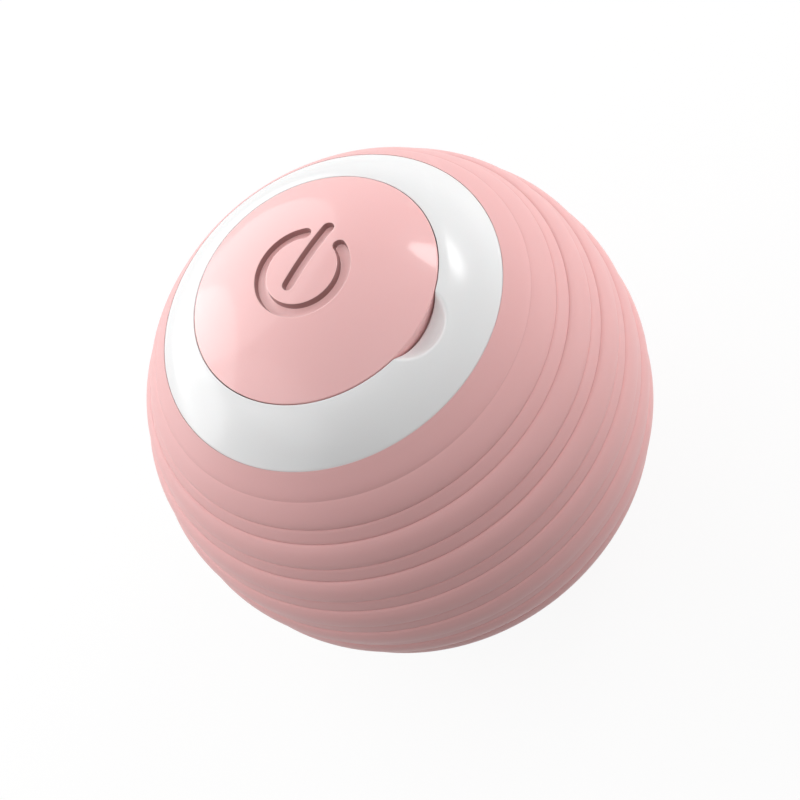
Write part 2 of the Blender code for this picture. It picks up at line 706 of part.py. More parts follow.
def make_notch_cutter():
    """An ellipsoid that scoops the finger notch out of the ring, square to the ball's surface there."""
    reach = CAP_RADIUS - NOTCH_INSET
    centre = Matrix.Translation((0, -reach, sphere_top(BALL_RADIUS, reach)))
    tilt = Matrix.Rotation(math.asin(reach / BALL_RADIUS), 4, "X")
    size = Matrix.Diagonal((NOTCH_HALF_WIDTH, NOTCH_REACH, NOTCH_DEPTH, 1))
    bm = bmesh.new()
    bmesh.ops.create_uvsphere(bm, u_segments=18, v_segments=12, radius=1, matrix=centre @ tilt @ size)
    return helper("finger notch", bm)


# Cap and tether


def add_groove(bm, stations):
    """Adds a cutter along stations of (x, y, half width), with its floor at an even depth below the dome."""
    roof = CENTRE_Z + BALL_RADIUS + OVERRUN
    rows = []
    for index, (x, y, half) in enumerate(stations):
        before = stations[max(index - 1, 0)]
        after = stations[min(index + 1, len(stations) - 1)]
        along = Vector((after[0] - before[0], after[1] - before[1])).normalized()
        across = Vector((-along.y, along.x)) * half
        sides = [Vector((x, y)) + across, Vector((x, y)) - across]
        floor = [sphere_top(BALL_RADIUS, side.length) - SYMBOL_DEPTH for side in sides]
        low = [bm.verts.new((*side, z)) for side, z in zip(sides, floor)]
        high = [bm.verts.new((*side, roof)) for side in reversed(sides)]
        rows.append(low + high)
    for row, after in zip(rows, rows[1:]):
        for corner in range(4):
            other = (corner + 1) % 4
            bm.faces.new((row[corner], row[other], after[other], after[corner]))
    bm.faces.new(rows[0])
    bm.faces.new(rows[-1][::-1])


def round_ended(middle, tangents):
    """Adds the round ends of a groove to its middle stations. tangents point outwards at the two ends."""
    half = SYMBOL_WIDTH / 2
    first = [
        (middle[0][0] + tangents[0][0] * half * share, middle[0][1] + tangents[0][1] * half * share,
         half * math.sqrt(1 - share**2))
        for share in SYMBOL_END_SHARES
    ]
    last = [
        (middle[-1][0] + tangents[1][0] * half * share, middle[-1][1] + tangents[1][1] * half * share,
         half * math.sqrt(1 - share**2))
        for share in reversed(SYMBOL_END_SHARES)
    ]
    return first + [(x, y, half) for x, y in middle] + last


def make_symbol_cutters():
    """The broken ring and the bar of the power symbol, whose bar points to +X."""
    start, end = SYMBOL_GAP_HALF, TAU - SYMBOL_GAP_HALF
    count = 18
    turns = [start + (end - start) * step / count for step in range(count + 1)]
    ring = [polar(SYMBOL_RADIUS, turn) for turn in turns]
    ends = [(math.sin(start), -math.cos(start)), (-math.sin(end), math.cos(end))]
    bm = bmesh.new()
    add_groove(bm, round_ended(ring, ends))
    arc_cutter = helper("symbol ring", bm)
    count = 3
    reach = [SYMBOL_BAR_IN + (SYMBOL_BAR_OUT - SYMBOL_BAR_IN) * step / count for step in range(count + 1)]
    bar = [(distance, SYMBOL_BAR_SHIFT) for distance in reach]
    bm = bmesh.new()
    add_groove(bm, round_ended(bar, [(-1, 0), (1, 0)]))
    return arc_cutter, helper("symbol bar", bm)


def make_cap(material):
    edge_angle = math.asin(CAP_RADIUS / BALL_RADIUS)
    edge_z = sphere_top(BALL_RADIUS, CAP_RADIUS)
    skirt_foot = edge_z - CAP_SIDE_HEIGHT
    foot_radius = CAP_RADIUS - CAP_SIDE_HEIGHT * math.tan(CAP_DRAFT)
    inner = foot_radius - CAP_SKIRT_WALL
    roof = BALL_RADIUS - CAP_WALL
    outline = arc(BALL_RADIUS, 0.0, edge_angle, CAP_BANDS)
    outline += [(foot_radius, skirt_foot), (inner, skirt_foot)]
    outline += arc(roof, math.asin(inner / roof), 0.0, CAP_ROOF_BANDS)
    outline[0] = (0.0, outline[0][1])
    outline[-1] = (0.0, outline[-1][1])
    bm = bmesh.new()
    add_turned(bm, outline, ROUND_STEPS)
    item = solid("cap", bm, material, origin=(0, CAP_PIVOT_Y, PIVOT_Z))
    bm = bmesh.new()
    for angle in CAP_PIN_ANGLES:
        place = polar(CAP_PIN_REACH, angle)
        add_rod(bm, CAP_PIN_RADIUS, FLOOR_Z + CAP_PIN_LIFT, sphere_top(roof, CAP_PIN_REACH) + CAP_WALL / 2, 10, place)
    for side in (-1, 1):
        middle = side * (TETHER_WIDTH / 2 + EAR_GAP + EAR_THICKNESS / 2)
        high = sphere_top(roof, 0.0) + CAP_WALL / 3
        size = (EAR_THICKNESS, 2 * LUG_RADIUS, high - (PIVOT_Z - LUG_RADIUS))
        add_block(bm, size, (middle, CAP_PIVOT_Y, high - size[2] / 2))
    join(item, helper("cap lugs", bm))
    bm = bmesh.new()
    notch_top = sphere_top(BALL_RADIUS, CAP_RADIUS) - CAP_NOTCH_ROOF
    notch_low = FLOOR_Z
    size = (CAP_NOTCH_WIDTH, CAP_NOTCH_REACH + OVERRUN, notch_top - notch_low)
    add_block(bm, size, (0, CAP_RADIUS + OVERRUN - size[1] / 2, (notch_top + notch_low) / 2))
    pin_frame = Matrix.Translation((0, CAP_PIVOT_Y, PIVOT_Z)) @ Matrix.Rotation(math.pi / 2, 4, "Y")
    half = TRUNNION_LENGTH / 2 + OVERRUN
    add_rod(bm, TRUNNION_RADIUS + FIT_GAP, -half, half, HOLE_STEPS, frame=pin_frame)
    cut(item, helper("cap openings", bm))
    for cutter in make_symbol_cutters():
        cut(item, cutter)
    return item


def make_tether(material):
    """A strap that sags to the well's floor between its two barrels."""
    low = PIVOT_Z - TETHER_SAG
    path = [
        (ANCHOR_Y, PIVOT_Z), (ANCHOR_Y, low + TETHER_BEND), (ANCHOR_Y - TETHER_BEND, low),
        (CAP_PIVOT_Y + TETHER_BEND, low), (CAP_PIVOT_Y, low + TETHER_BEND), (CAP_PIVOT_Y, PIVOT_Z),
    ]
    frame = Matrix(((0, 0, 1, 0), (1, 0, 0, 0), (0, 1, 0, 0), (0, 0, 0, 1)))
    bm = bmesh.new()
    add_prism(bm, ribbon(path, TETHER_THICKNESS / 2), -TETHER_WIDTH / 2, TETHER_WIDTH / 2, frame)
    item = solid("tether", bm, material, origin=(0, ANCHOR_Y, PIVOT_Z))
    for name, y in (("ring end", ANCHOR_Y), ("cap end", CAP_PIVOT_Y)):
        pin_frame = Matrix.Translation((0, y, PIVOT_Z)) @ Matrix.Rotation(math.pi / 2, 4, "Y")
        barrel, pin = TETHER_WIDTH / 2, TRUNNION_LENGTH / 2
        outline = [
            (0.0, pin), (TRUNNION_RADIUS, pin), (TRUNNION_RADIUS, barrel), (BARREL_RADIUS, barrel),
            (BARREL_RADIUS, -barrel), (TRUNNION_RADIUS, -barrel), (TRUNNION_RADIUS, -pin), (0.0, -pin),
        ]
        bm = bmesh.new()
        add_turned(bm, outline, SCREW_STEPS, frame=pin_frame)
        join(item, helper(f"tether {name}", bm))
    return item


# Button disc, socket and board


def make_button_disc(material):
    skirt_foot = FLOOR_Z - FLOOR_WALL - SEAT_GAP - DISC_TAB_HEIGHT
    inner = DISC_RADIUS - DISC_SKIRT_WALL
    outline = [
        (0.0, FLOOR_Z), (DISC_RADIUS - DISC_CHAMFER, FLOOR_Z), (DISC_RADIUS, FLOOR_Z - DISC_CHAMFER),
        (DISC_RADIUS, skirt_foot), (inner, skirt_foot), (inner, FLOOR_Z - DISC_WALL), (0.0, FLOOR_Z - DISC_WALL),
    ]
    bm = bmesh.new()
    add_turned(bm, outline, DISC_STEPS)
    item = solid("button_disc", bm, material, origin=(0, 0, FLOOR_Z))
    bm = bmesh.new()
    for angle in WELL_SCREW_ANGLES:
        reach = DISC_SKIRT_WALL / 2 + DISC_TAB_REACH
        place = polar(DISC_RADIUS - DISC_SKIRT_WALL / 2 + reach / 2, angle + math.pi)
        size = (reach, DISC_TAB_WIDTH, DISC_TAB_HEIGHT)
        add_block(bm, size, (*place, skirt_foot + DISC_TAB_HEIGHT / 2), angle + math.pi)
    post_foot = BOARD_TOP_Z + SOLDER_GAP + SWITCH_HEIGHT + PLUNGER_RISE + PLUNGER_GAP
    add_rod(bm, DISC_POST_RADIUS, post_foot, FLOOR_Z - DISC_WALL / 2, SCREW_STEPS, (0.0, SWITCH_Y))
    join(item, helper("disc tabs", bm))
    bm = bmesh.new()
    outline = slot_outline(SLOT_WIDTH, SLOT_DEPTH, 8, (0.0, USB_OFFSET_Y))
    add_prism(bm, outline, FLOOR_Z - DISC_WALL - OVERRUN, FLOOR_Z + OVERRUN)
    return cut(item, helper("disc slot", bm))


def make_usb(metal, plastic):
    low = BOARD_TOP_Z + SOLDER_GAP
    centre = (0.0, USB_OFFSET_Y)
    bm = bmesh.new()
    add_prism(bm, slot_outline(USB_WIDTH, USB_DEPTH, 8, centre), low, USB_TOP_Z)
    shell = solid("usb_shell", bm, metal)
    bm = bmesh.new()
    width, depth = USB_WIDTH - 2 * USB_WALL, USB_DEPTH - 2 * USB_WALL
    add_prism(bm, slot_outline(width, depth, 8, centre), low + USB_WALL, USB_TOP_Z + OVERRUN)
    cut(shell, helper("socket hollow", bm))
    bm = bmesh.new()
    base_low = low + USB_WALL + FIT_GAP
    outline = slot_outline(width - 2 * FIT_GAP, depth - 2 * FIT_GAP, 6, centre)
    add_prism(bm, outline, base_low, base_low + TONGUE_BASE)
    tongue = solid("usb_tongue", bm, plastic)
    bm = bmesh.new()
    high = USB_TOP_Z - TONGUE_RECESS
    foot = base_low + TONGUE_BASE / 2
    add_block(bm, (TONGUE_WIDTH, TONGUE_DEPTH, high - foot), (*centre, (high + foot) / 2))
    join(tongue, helper("socket tongue", bm))
    return shell, tongue


def make_board(material):
    bm = bmesh.new()
    add_prism(bm, circle(BOARD_RADIUS, DISC_STEPS), BOARD_Z, BOARD_TOP_Z)
    board = solid("pcb", bm, material)
    bm = bmesh.new()
    for angle in WELL_SCREW_ANGLES:
        place = polar(WELL_SCREW_REACH, angle)
        add_rod(bm, SCREW_SHANK_RADIUS + FIT_GAP, BOARD_Z - OVERRUN, BOARD_TOP_Z + OVERRUN, HOLE_STEPS, place)
    return cut(board, helper("board holes", bm))


def make_chip(name, size, place, material):
    """A flat component on the board's upper side."""
    bm = bmesh.new()
    add_block(bm, size, (*place, BOARD_TOP_Z + SOLDER_GAP + size[2] / 2))
    return soften(solid(name, bm, material), CHIP_EDGE)


def make_switch(body_material, plunger_material):
    low = BOARD_TOP_Z + SOLDER_GAP
    high = low + SWITCH_HEIGHT
    body = make_chip("tact_body", (SWITCH_SIZE, SWITCH_SIZE, SWITCH_HEIGHT), (0.0, SWITCH_Y), body_material)
    bm = bmesh.new()
    add_rod(bm, PLUNGER_RADIUS + FIT_GAP, high - PLUNGER_WELL, high + OVERRUN, HOLE_STEPS, (0.0, SWITCH_Y))
    cut(body, helper("switch well", bm))
    bm = bmesh.new()
    foot = high - PLUNGER_WELL + DISC_TRAVEL + FIT_GAP
    add_rod(bm, PLUNGER_RADIUS, foot, high + PLUNGER_RISE, SCREW_STEPS, (0.0, SWITCH_Y))
    return body, solid("tact_plunger", bm, plunger_material, origin=(0, SWITCH_Y, high))


def make_tilt_sensor(material):
    height = BOARD_TOP_Z + SOLDER_GAP + TILT_RADIUS
    frame = Matrix.Translation((*TILT_PLACE, height)) @ Matrix.Rotation(math.pi / 2, 4, "Y")
    edge = TILT_RADIUS / 6
    half = TILT_LENGTH / 2
    outline = [
        (0.0, half), (TILT_RADIUS - edge, half), (TILT_RADIUS, half - edge),
        (TILT_RADIUS, edge - half), (TILT_RADIUS - edge, -half), (0.0, -half),
    ]
    bm = bmesh.new()
    add_turned(bm, outline, SHAFT_STEPS, frame=frame)
    return solid("tilt_sensor", bm, material)


def make_led(name, side, material):
    low = BOARD_TOP_Z + SOLDER_GAP
    place = (side * LED_PLACE_X, LED_PLACE_Y)
    bm = bmesh.new()
    add_block(bm, LED_SIZE, (*place, low + LED_SIZE[2] / 2))
    item = solid(name, bm, material)
    bm = bmesh.new()
    dome = LED_SIZE[0] / 2 - CHIP_EDGE
    top = low + LED_SIZE[2]
    outline = [(0.0, top + LED_DOME), (dome / 2, top + LED_DOME * 5 / 6), (dome, top), (dome, low + LED_SIZE[2] / 2),
               (0.0, low + LED_SIZE[2] / 2)]
    add_turned(bm, outline, 10, place)
    return join(item, helper(f"{name} dome", bm))


# Chassis and gearbox


def make_chassis(material):
    """The deck, with pillars up to the board, posts down to the gear plate and a collar for the motor."""
    bm = bmesh.new()
    add_prism(bm, circle(DECK_RADIUS, DISC_STEPS), DECK_Z, DECK_TOP_Z)
    item = solid("chassis", bm, material)
    bm = bmesh.new()
    for angle in WELL_SCREW_ANGLES:
        place = polar(WELL_SCREW_REACH, angle)
        add_rod(bm, PILLAR_RADIUS, DECK_Z + DECK_WALL / 2, BOARD_Z - SEAT_GAP, HOLE_STEPS, place)
    for place in GEAR_POST_PLACES:
        low = PLATE_Z + PLATE_WALL + SEAT_GAP
        add_rod(bm, GEAR_POST_RADIUS, low, DECK_Z + DECK_WALL / 2, HOLE_STEPS, place)
    inner = MOTOR_RADIUS + FIT_GAP
    outer = inner + COLLAR_WALL
    foot, top = DECK_Z + DECK_WALL / 2, DECK_TOP_Z + COLLAR_HEIGHT
    add_turned(bm, [(inner, top), (outer, top), (outer, foot), (inner, foot)], BUSH_STEPS, MOTOR_PLACE)
    join(item, helper("chassis posts", bm))
    bm = bmesh.new()
    run = DECK_TOP_Z + OVERRUN
    for angle in WELL_SCREW_ANGLES:
        place = polar(WELL_SCREW_REACH, angle)
        low = BOARD_Z - SEAT_GAP - SCREW_BITE
        add_rod(bm, SCREW_SHANK_RADIUS + FIT_GAP, low, BOARD_Z + OVERRUN, HOLE_STEPS, place)
    for place in GEAR_POST_PLACES:
        low = PLATE_Z + PLATE_WALL
        add_rod(bm, SCREW_SHANK_RADIUS + FIT_GAP, low, low + SEAT_GAP + SCREW_BITE, HOLE_STEPS, place)
    for angle in SHELL_POST_ANGLES:
        place = polar(SHELL_POST_REACH, angle)
        add_rod(bm, SCREW_SHANK_RADIUS + FIT_GAP, DECK_Z - OVERRUN, run, HOLE_STEPS, place)
    for place in (GEAR_A_PLACE, GEAR_B_PLACE):
        add_rod(bm, ARBOR_RADIUS + FIT_GAP, DECK_Z - OVERRUN, run, ARBOR_STEPS, place)
    add_rod(bm, SHAFT_RADIUS + FIT_GAP, DECK_Z - OVERRUN, run, SHAFT_STEPS)
    add_rod(bm, MOTOR_NOSE_RADIUS + FIT_GAP, DECK_Z - OVERRUN, run, SHAFT_STEPS, MOTOR_PLACE)
    window = polar(DECK_WINDOW_REACH, DECK_WINDOW_ANGLE)
    add_rod(bm, DECK_WINDOW_RADIUS, DECK_Z - OVERRUN, run, SHAFT_STEPS, window)
    return cut(item, helper("chassis holes", bm))


def make_gear_plate(material):
    bm = bmesh.new()
    add_prism(bm, circle(PLATE_RADIUS, DISC_STEPS), PLATE_Z, PLATE_Z + PLATE_WALL)
    item = solid("gear_plate", bm, material)
    bm = bmesh.new()
    low, high = PLATE_Z - OVERRUN, PLATE_Z + PLATE_WALL + OVERRUN
    seat = PLATE_Z + SCREW_HEAD_HEIGHT + FIT_GAP
    for place in GEAR_POST_PLACES:
        shank, head = SCREW_SHANK_RADIUS + FIT_GAP, SCREW_HEAD_RADIUS + FIT_GAP
        outline = [(0.0, high), (shank, high), (shank, seat), (head, seat), (head, low), (0.0, low)]
        add_turned(bm, outline, SCREW_STEPS, place)
    for place in (GEAR_A_PLACE, GEAR_B_PLACE):
        add_rod(bm, ARBOR_RADIUS + FIT_GAP, low, high, ARBOR_STEPS, place)
    add_rod(bm, SHAFT_RADIUS + BUSH_WALL + 2 * FIT_GAP, low, high, BUSH_STEPS)
    return cut(item, helper("plate holes", bm))


def gear_outline(teeth, flank_steps):
    """Involute teeth, thinned for backlash, with the first tooth on +X."""
    pitch = MODULE * teeth / 2
    base = pitch * math.cos(PRESSURE_ANGLE)
    tip = pitch + ADDENDUM_SHARE * MODULE
    root = pitch - DEDENDUM_SHARE * MODULE
    pitch_half = math.pi / (2 * teeth) - BACKLASH / (2 * pitch)

    def involute(radius):
        angle = math.acos(min(base / radius, 1))
        return math.tan(angle) - angle

    start = max(base, root)
    radii = [start + (tip - start) * step / flank_steps for step in range(flank_steps + 1)]
    flank = [(radius, pitch_half + involute(pitch) - involute(radius)) for radius in radii]
    if root < base:
        flank.insert(0, (root, flank[0][1]))
    points = []
    for tooth in range(teeth):
        middle = TAU * tooth / teeth
        points += [polar(radius, middle - half) for radius, half in flank]
        points += [polar(radius, middle + half) for radius, half in reversed(flank)]
    return points


def meshed_turn(turn, teeth, mate_teeth, bearing):
    """The turn that puts the mate's teeth between this gear's, for a mate at this bearing."""
    offset = math.remainder(turn - bearing, TAU / teeth)
    return bearing + math.pi - offset * teeth / mate_teeth + math.pi / mate_teeth


def make_compound(name, place, layer, turn, material):
    """A wheel on one layer with its pinion on the layer below, free on its arbor."""
    low = LAYER_Z + layer * LAYER_PITCH
    frame = Matrix.Translation((*place, 0))
    bm = bmesh.new()
    add_prism(bm, gear_outline(WHEEL_TEETH, WHEEL_FLANK_STEPS), low, low + WHEEL_WALL, frame)
    item = solid(name, bm, material, origin=(*place, low), turn=turn)
    bm = bmesh.new()
    add_prism(bm, gear_outline(PINION_TEETH, PINION_FLANK_STEPS), low - LAYER_PITCH, low + WHEEL_WALL / 2, frame)
    join(item, helper(f"{name} pinion", bm, origin=(*place, low), turn=turn))
    bm = bmesh.new()
    top = low + WHEEL_WALL
    add_rod(bm, ARBOR_RADIUS + FIT_GAP, low - LAYER_PITCH - OVERRUN, top + OVERRUN, ARBOR_STEPS, place)
    web = [
        (WEB_INNER, top + OVERRUN), (WEB_OUTER, top + OVERRUN), (WEB_OUTER, top - WEB_DEPTH),
        (WEB_INNER, top - WEB_DEPTH),
    ]
    add_turned(bm, web, BUSH_STEPS, place)
    return cut(item, helper(f"{name} bore", bm))


def make_arbor(name, place, material):
    bm = bmesh.new()
    low, high = PLATE_Z + FIT_GAP, DECK_TOP_Z - FIT_GAP
    add_rod(bm, ARBOR_RADIUS, low, high, ARBOR_STEPS, place)
    return solid(name, bm, material, origin=(*place, low))


def make_output(turn, gear_material, steel, brass, weight_material, dark):
    bm = bmesh.new()
    add_prism(bm, gear_outline(WHEEL_TEETH, WHEEL_FLANK_STEPS), LAYER_Z, LAYER_Z + WHEEL_WALL)
    gear = solid("output_gear", bm, gear_material, origin=(0, 0, LAYER_Z), turn=turn)
    bm = bmesh.new()
    top = LAYER_Z + WHEEL_WALL
    add_rod(bm, SHAFT_RADIUS + FIT_GAP, LAYER_Z - OVERRUN, top + OVERRUN, SHAFT_STEPS)
    web = [
        (WEB_INNER, top + OVERRUN), (WEB_OUTER, top + OVERRUN), (WEB_OUTER, top - WEB_DEPTH),
        (WEB_INNER, top - WEB_DEPTH),
    ]
    add_turned(bm, web, BUSH_STEPS)
    cut(gear, helper("output bore", bm))
    bm = bmesh.new()
    edge = SHAFT_RADIUS / 4
    high = DECK_TOP_Z - FIT_GAP
    outline = [
        (0.0, high), (SHAFT_RADIUS - edge, high), (SHAFT_RADIUS, high - edge),
        (SHAFT_RADIUS, SHAFT_FOOT_Z + edge), (SHAFT_RADIUS - edge, SHAFT_FOOT_Z), (0.0, SHAFT_FOOT_Z),
    ]
    add_turned(bm, outline, SHAFT_STEPS)
    solid("output_shaft", bm, steel, origin=(0, 0, SHAFT_FOOT_Z))
    make_bush("bush_plate", PLATE_Z + FIT_GAP, PLATE_Z + PLATE_WALL - FIT_GAP, False, brass)
    make_bush("bush_base", SHAFT_FOOT_Z, BASE_BOSS_TOP_Z + FIT_GAP, True, brass)
    make_weight(weight_material, dark)


def make_bush(name, low, high, flanged, material):
    """A plain bush for the output shaft, with a flange on top where it stands on a boss."""
    inner = SHAFT_RADIUS + FIT_GAP
    outer = inner + BUSH_WALL
    outline = [(inner, high), (outer, high), (outer, low), (inner, low)]
    if flanged:
        top = high + BUSH_FLANGE_WALL
        outline[:1] = [(inner, top), (outer + BUSH_FLANGE, top), (outer + BUSH_FLANGE, high)]
    bm = bmesh.new()
    add_turned(bm, outline, BUSH_STEPS)
    return solid(name, bm, material)


def make_weight(material, dark):
    """Half a disc that follows the ball's inside, on a round hub with a grub screw."""
    top = WEIGHT_Z + WEIGHT_HEIGHT
    edge = WEIGHT_HEIGHT / 8
    swing = SHELL_INNER - WEIGHT_RIM_GAP
    wide = math.sqrt(swing**2 - (CENTRE_Z - top + 2 * edge) ** 2)
    narrow = math.sqrt(swing**2 - (CENTRE_Z - WEIGHT_Z) ** 2)
    outline = [
        (0.0, top), (wide - edge, top), (wide, top - edge), (wide, top - 2 * edge), (narrow, WEIGHT_Z),
        (0.0, WEIGHT_Z),
    ]
    bm = bmesh.new()
    add_turned(bm, outline, WEIGHT_STEPS)
    item = solid("weight", bm, material, origin=(0, 0, WEIGHT_Z))
    bm = bmesh.new()
    reach = wide + OVERRUN
    size = (2 * reach, reach, WEIGHT_HEIGHT + 2 * OVERRUN)
    add_block(bm, size, (0, reach / 2, WEIGHT_Z + WEIGHT_HEIGHT / 2))
    cut(item, helper("weight half", bm))
    bm = bmesh.new()
    add_rod(bm, WEIGHT_HUB_RADIUS, WEIGHT_Z + edge, top - edge, BUSH_STEPS)
    join(item, helper("weight hub", bm))
    bm = bmesh.new()
    add_rod(bm, SHAFT_RADIUS + FIT_GAP, WEIGHT_Z - OVERRUN, top + OVERRUN, SHAFT_STEPS)
    cut(item, helper("weight bore", bm))
    frame = Matrix.Translation((0, 0, WEIGHT_Z + WEIGHT_HEIGHT / 2)) @ Matrix.Rotation(-math.pi / 2, 4, "X")
    bm = bmesh.new()
    near = SHAFT_RADIUS + FIT_GAP + FIT_GAP
    add_rod(bm, GRUB_RADIUS + FIT_GAP, SHAFT_RADIUS / 2, WEIGHT_HUB_RADIUS + OVERRUN, HOLE_STEPS, frame=frame)
    cut(item, helper("weight screw hole", bm))
    bm = bmesh.new()
    add_rod(bm, GRUB_RADIUS, near, near + GRUB_LENGTH, SCREW_STEPS, frame=frame)
    grub = solid("weight_screw", bm, dark)
    bm = bmesh.new()
    low = near + GRUB_LENGTH - GRUB_SOCKET_DEPTH
    add_prism(bm, circle(GRUB_SOCKET, 6), low, near + GRUB_LENGTH + OVERRUN, frame)
    return cut(grub, helper("grub socket", bm))


# Motor, battery and leads


def motor_outline(steps):
    """A round can with two flats, across Y."""
    points = []
    limit = math.asin(MOTOR_FLAT / MOTOR_RADIUS)
    for start in (-limit, math.pi - limit):
        points += [polar(MOTOR_RADIUS, start + 2 * limit * step / steps, MOTOR_PLACE) for step in range(steps + 1)]
    return points


def make_motor(steel, plastic, brass):
    low = DECK_TOP_Z + SEAT_GAP
    high = low + MOTOR_LENGTH
    layer = LAYER_Z + 2 * LAYER_PITCH
    shaft_foot = layer - MOTOR_PINION_OVER
    bm = bmesh.new()
    add_prism(bm, motor_outline(9), low, high)
    can = solid("motor_can", bm, steel)
    bm = bmesh.new()
    add_rod(bm, MOTOR_NOSE_RADIUS, low - MOTOR_NOSE, low + MOTOR_NOSE, SHAFT_STEPS, MOTOR_PLACE)
    join(can, helper("motor nose", bm))
    bm = bmesh.new()
    bore_top = low + MOTOR_NOSE * 2
    add_rod(bm, MOTOR_SHAFT_RADIUS + FIT_GAP, low - MOTOR_NOSE - OVERRUN, bore_top, ARBOR_STEPS, MOTOR_PLACE)
    cut(can, helper("motor bore", bm))
    bell_low = high + MOTOR_BELL_GAP
    bell_high = bell_low + MOTOR_BELL
    bm = bmesh.new()
    add_prism(bm, motor_outline(7), bell_low, bell_high)
    bell = solid("motor_bell", bm, plastic)
    bm = bmesh.new()
    for side in (-1, 1):
        centre = (MOTOR_PLACE[0] + side * TERMINAL_SPREAD, MOTOR_PLACE[1], bell_high)
        add_block(bm, TERMINAL_SIZE, centre)
    join(bell, helper("motor terminals", bm))
    bm = bmesh.new()
    add_rod(bm, MOTOR_SHAFT_RADIUS, shaft_foot, bore_top - FIT_GAP, ARBOR_STEPS, MOTOR_PLACE)
    solid("motor_shaft", bm, steel, origin=(*MOTOR_PLACE, shaft_foot))
    frame = Matrix.Translation((*MOTOR_PLACE, 0))
    bm = bmesh.new()
    add_prism(bm, gear_outline(PINION_TEETH, PINION_FLANK_STEPS), shaft_foot, layer + WHEEL_WALL + MOTOR_PINION_OVER, frame)
    pinion = solid("motor_pinion", bm, brass, origin=(*MOTOR_PLACE, shaft_foot))
    bm = bmesh.new()
    add_rod(bm, MOTOR_SHAFT_RADIUS + FIT_GAP, shaft_foot - OVERRUN, low, ARBOR_STEPS, MOTOR_PLACE)
    cut(pinion, helper("motor pinion bore", bm))
    return bell_high


def make_battery(wrap, foam, plastic):
    low = DECK_TOP_Z + FIT_GAP
    centre = [BATTERY_CORNER[axis] + BATTERY_SIZE[axis] / 2 for axis in range(2)]
    bm = bmesh.new()
    pad_size = (BATTERY_SIZE[0] - PAD_MARGIN, BATTERY_SIZE[1] - PAD_MARGIN, PAD_WALL)
    add_block(bm, pad_size, (*centre, low + PAD_WALL / 2))
    solid("battery_pad", bm, foam)
    foot = low + PAD_WALL + FIT_GAP
    bm = bmesh.new()
    add_block(bm, BATTERY_SIZE, (*centre, foot + BATTERY_SIZE[2] / 2))
    soften(solid("battery", bm, wrap), BATTERY_EDGE)
    bm = bmesh.new()
    add_block(bm, SOCKET_SIZE, (*SOCKET_PLACE, BOARD_Z - SOLDER_GAP - SOCKET_SIZE[2] / 2))
    soften(solid("battery_socket", bm, plastic), CHIP_EDGE)
    return foot + BATTERY_SIZE[2]


def make_lead(name, ends, material):
    """A short wire along a smooth curve through two end points and the handles between them."""
    start, out, back, end = (Vector(point) for point in ends)
    count = 6
    curve = bpy.data.curves.new(name, "CURVE")
    curve.dimensions = "3D"
    curve.bevel_depth = LEAD_RADIUS
    curve.bevel_resolution = 2
    curve.use_fill_caps = True
    spline = curve.splines.new("POLY")
    spline.points.add(count)
    for step, point in enumerate(spline.points):
        t = step / count
        shares = ((1 - t) ** 3, 3 * t * (1 - t) ** 2, 3 * t**2 * (1 - t), t**3)
        place = start * shares[0] + out * shares[1] + back * shares[2] + end * shares[3]
        point.co = (*place, 1)
    curve.materials.append(material)
    item = bpy.data.objects.new(name, curve)
    bpy.context.scene.collection.objects.link(item)
    return item


def make_leads(battery_top, bell_top, red, black):
    socket_face = SOCKET_PLACE[1] - SOCKET_SIZE[1] / 2 - FIT_GAP
    socket_z = BOARD_Z - SOLDER_GAP - SOCKET_SIZE[2] / 2
    start_z = battery_top + FIT_GAP
    pad_z = BOARD_Z - FIT_GAP
    tab_z = bell_top + TERMINAL_SIZE[2] / 2 + FIT_GAP
    for side, tint, material in ((-1, "red", red), (1, "black", black)):
        x = SOCKET_PLACE[0] + side * SOCKET_PIN_SPREAD
        ends = [
            (x, socket_face - LEAD_BACK, start_z), (x, socket_face - LEAD_BACK, start_z + LEAD_RISE),
            (x, socket_face - LEAD_BACK / 2, socket_z), (x, socket_face, socket_z),
        ]
        make_lead(f"battery_lead_{tint}", ends, material)
        x, y = MOTOR_PLACE[0] + side * TERMINAL_SPREAD, MOTOR_PLACE[1]
        middle = (tab_z + pad_z) / 2
        ends = [
            (x, y, tab_z), (x, y, middle), (x, y + MOTOR_LEAD_REACH, middle), (x, y + MOTOR_LEAD_REACH, pad_z),
        ]
        make_lead(f"motor_lead_{tint}", ends, material)


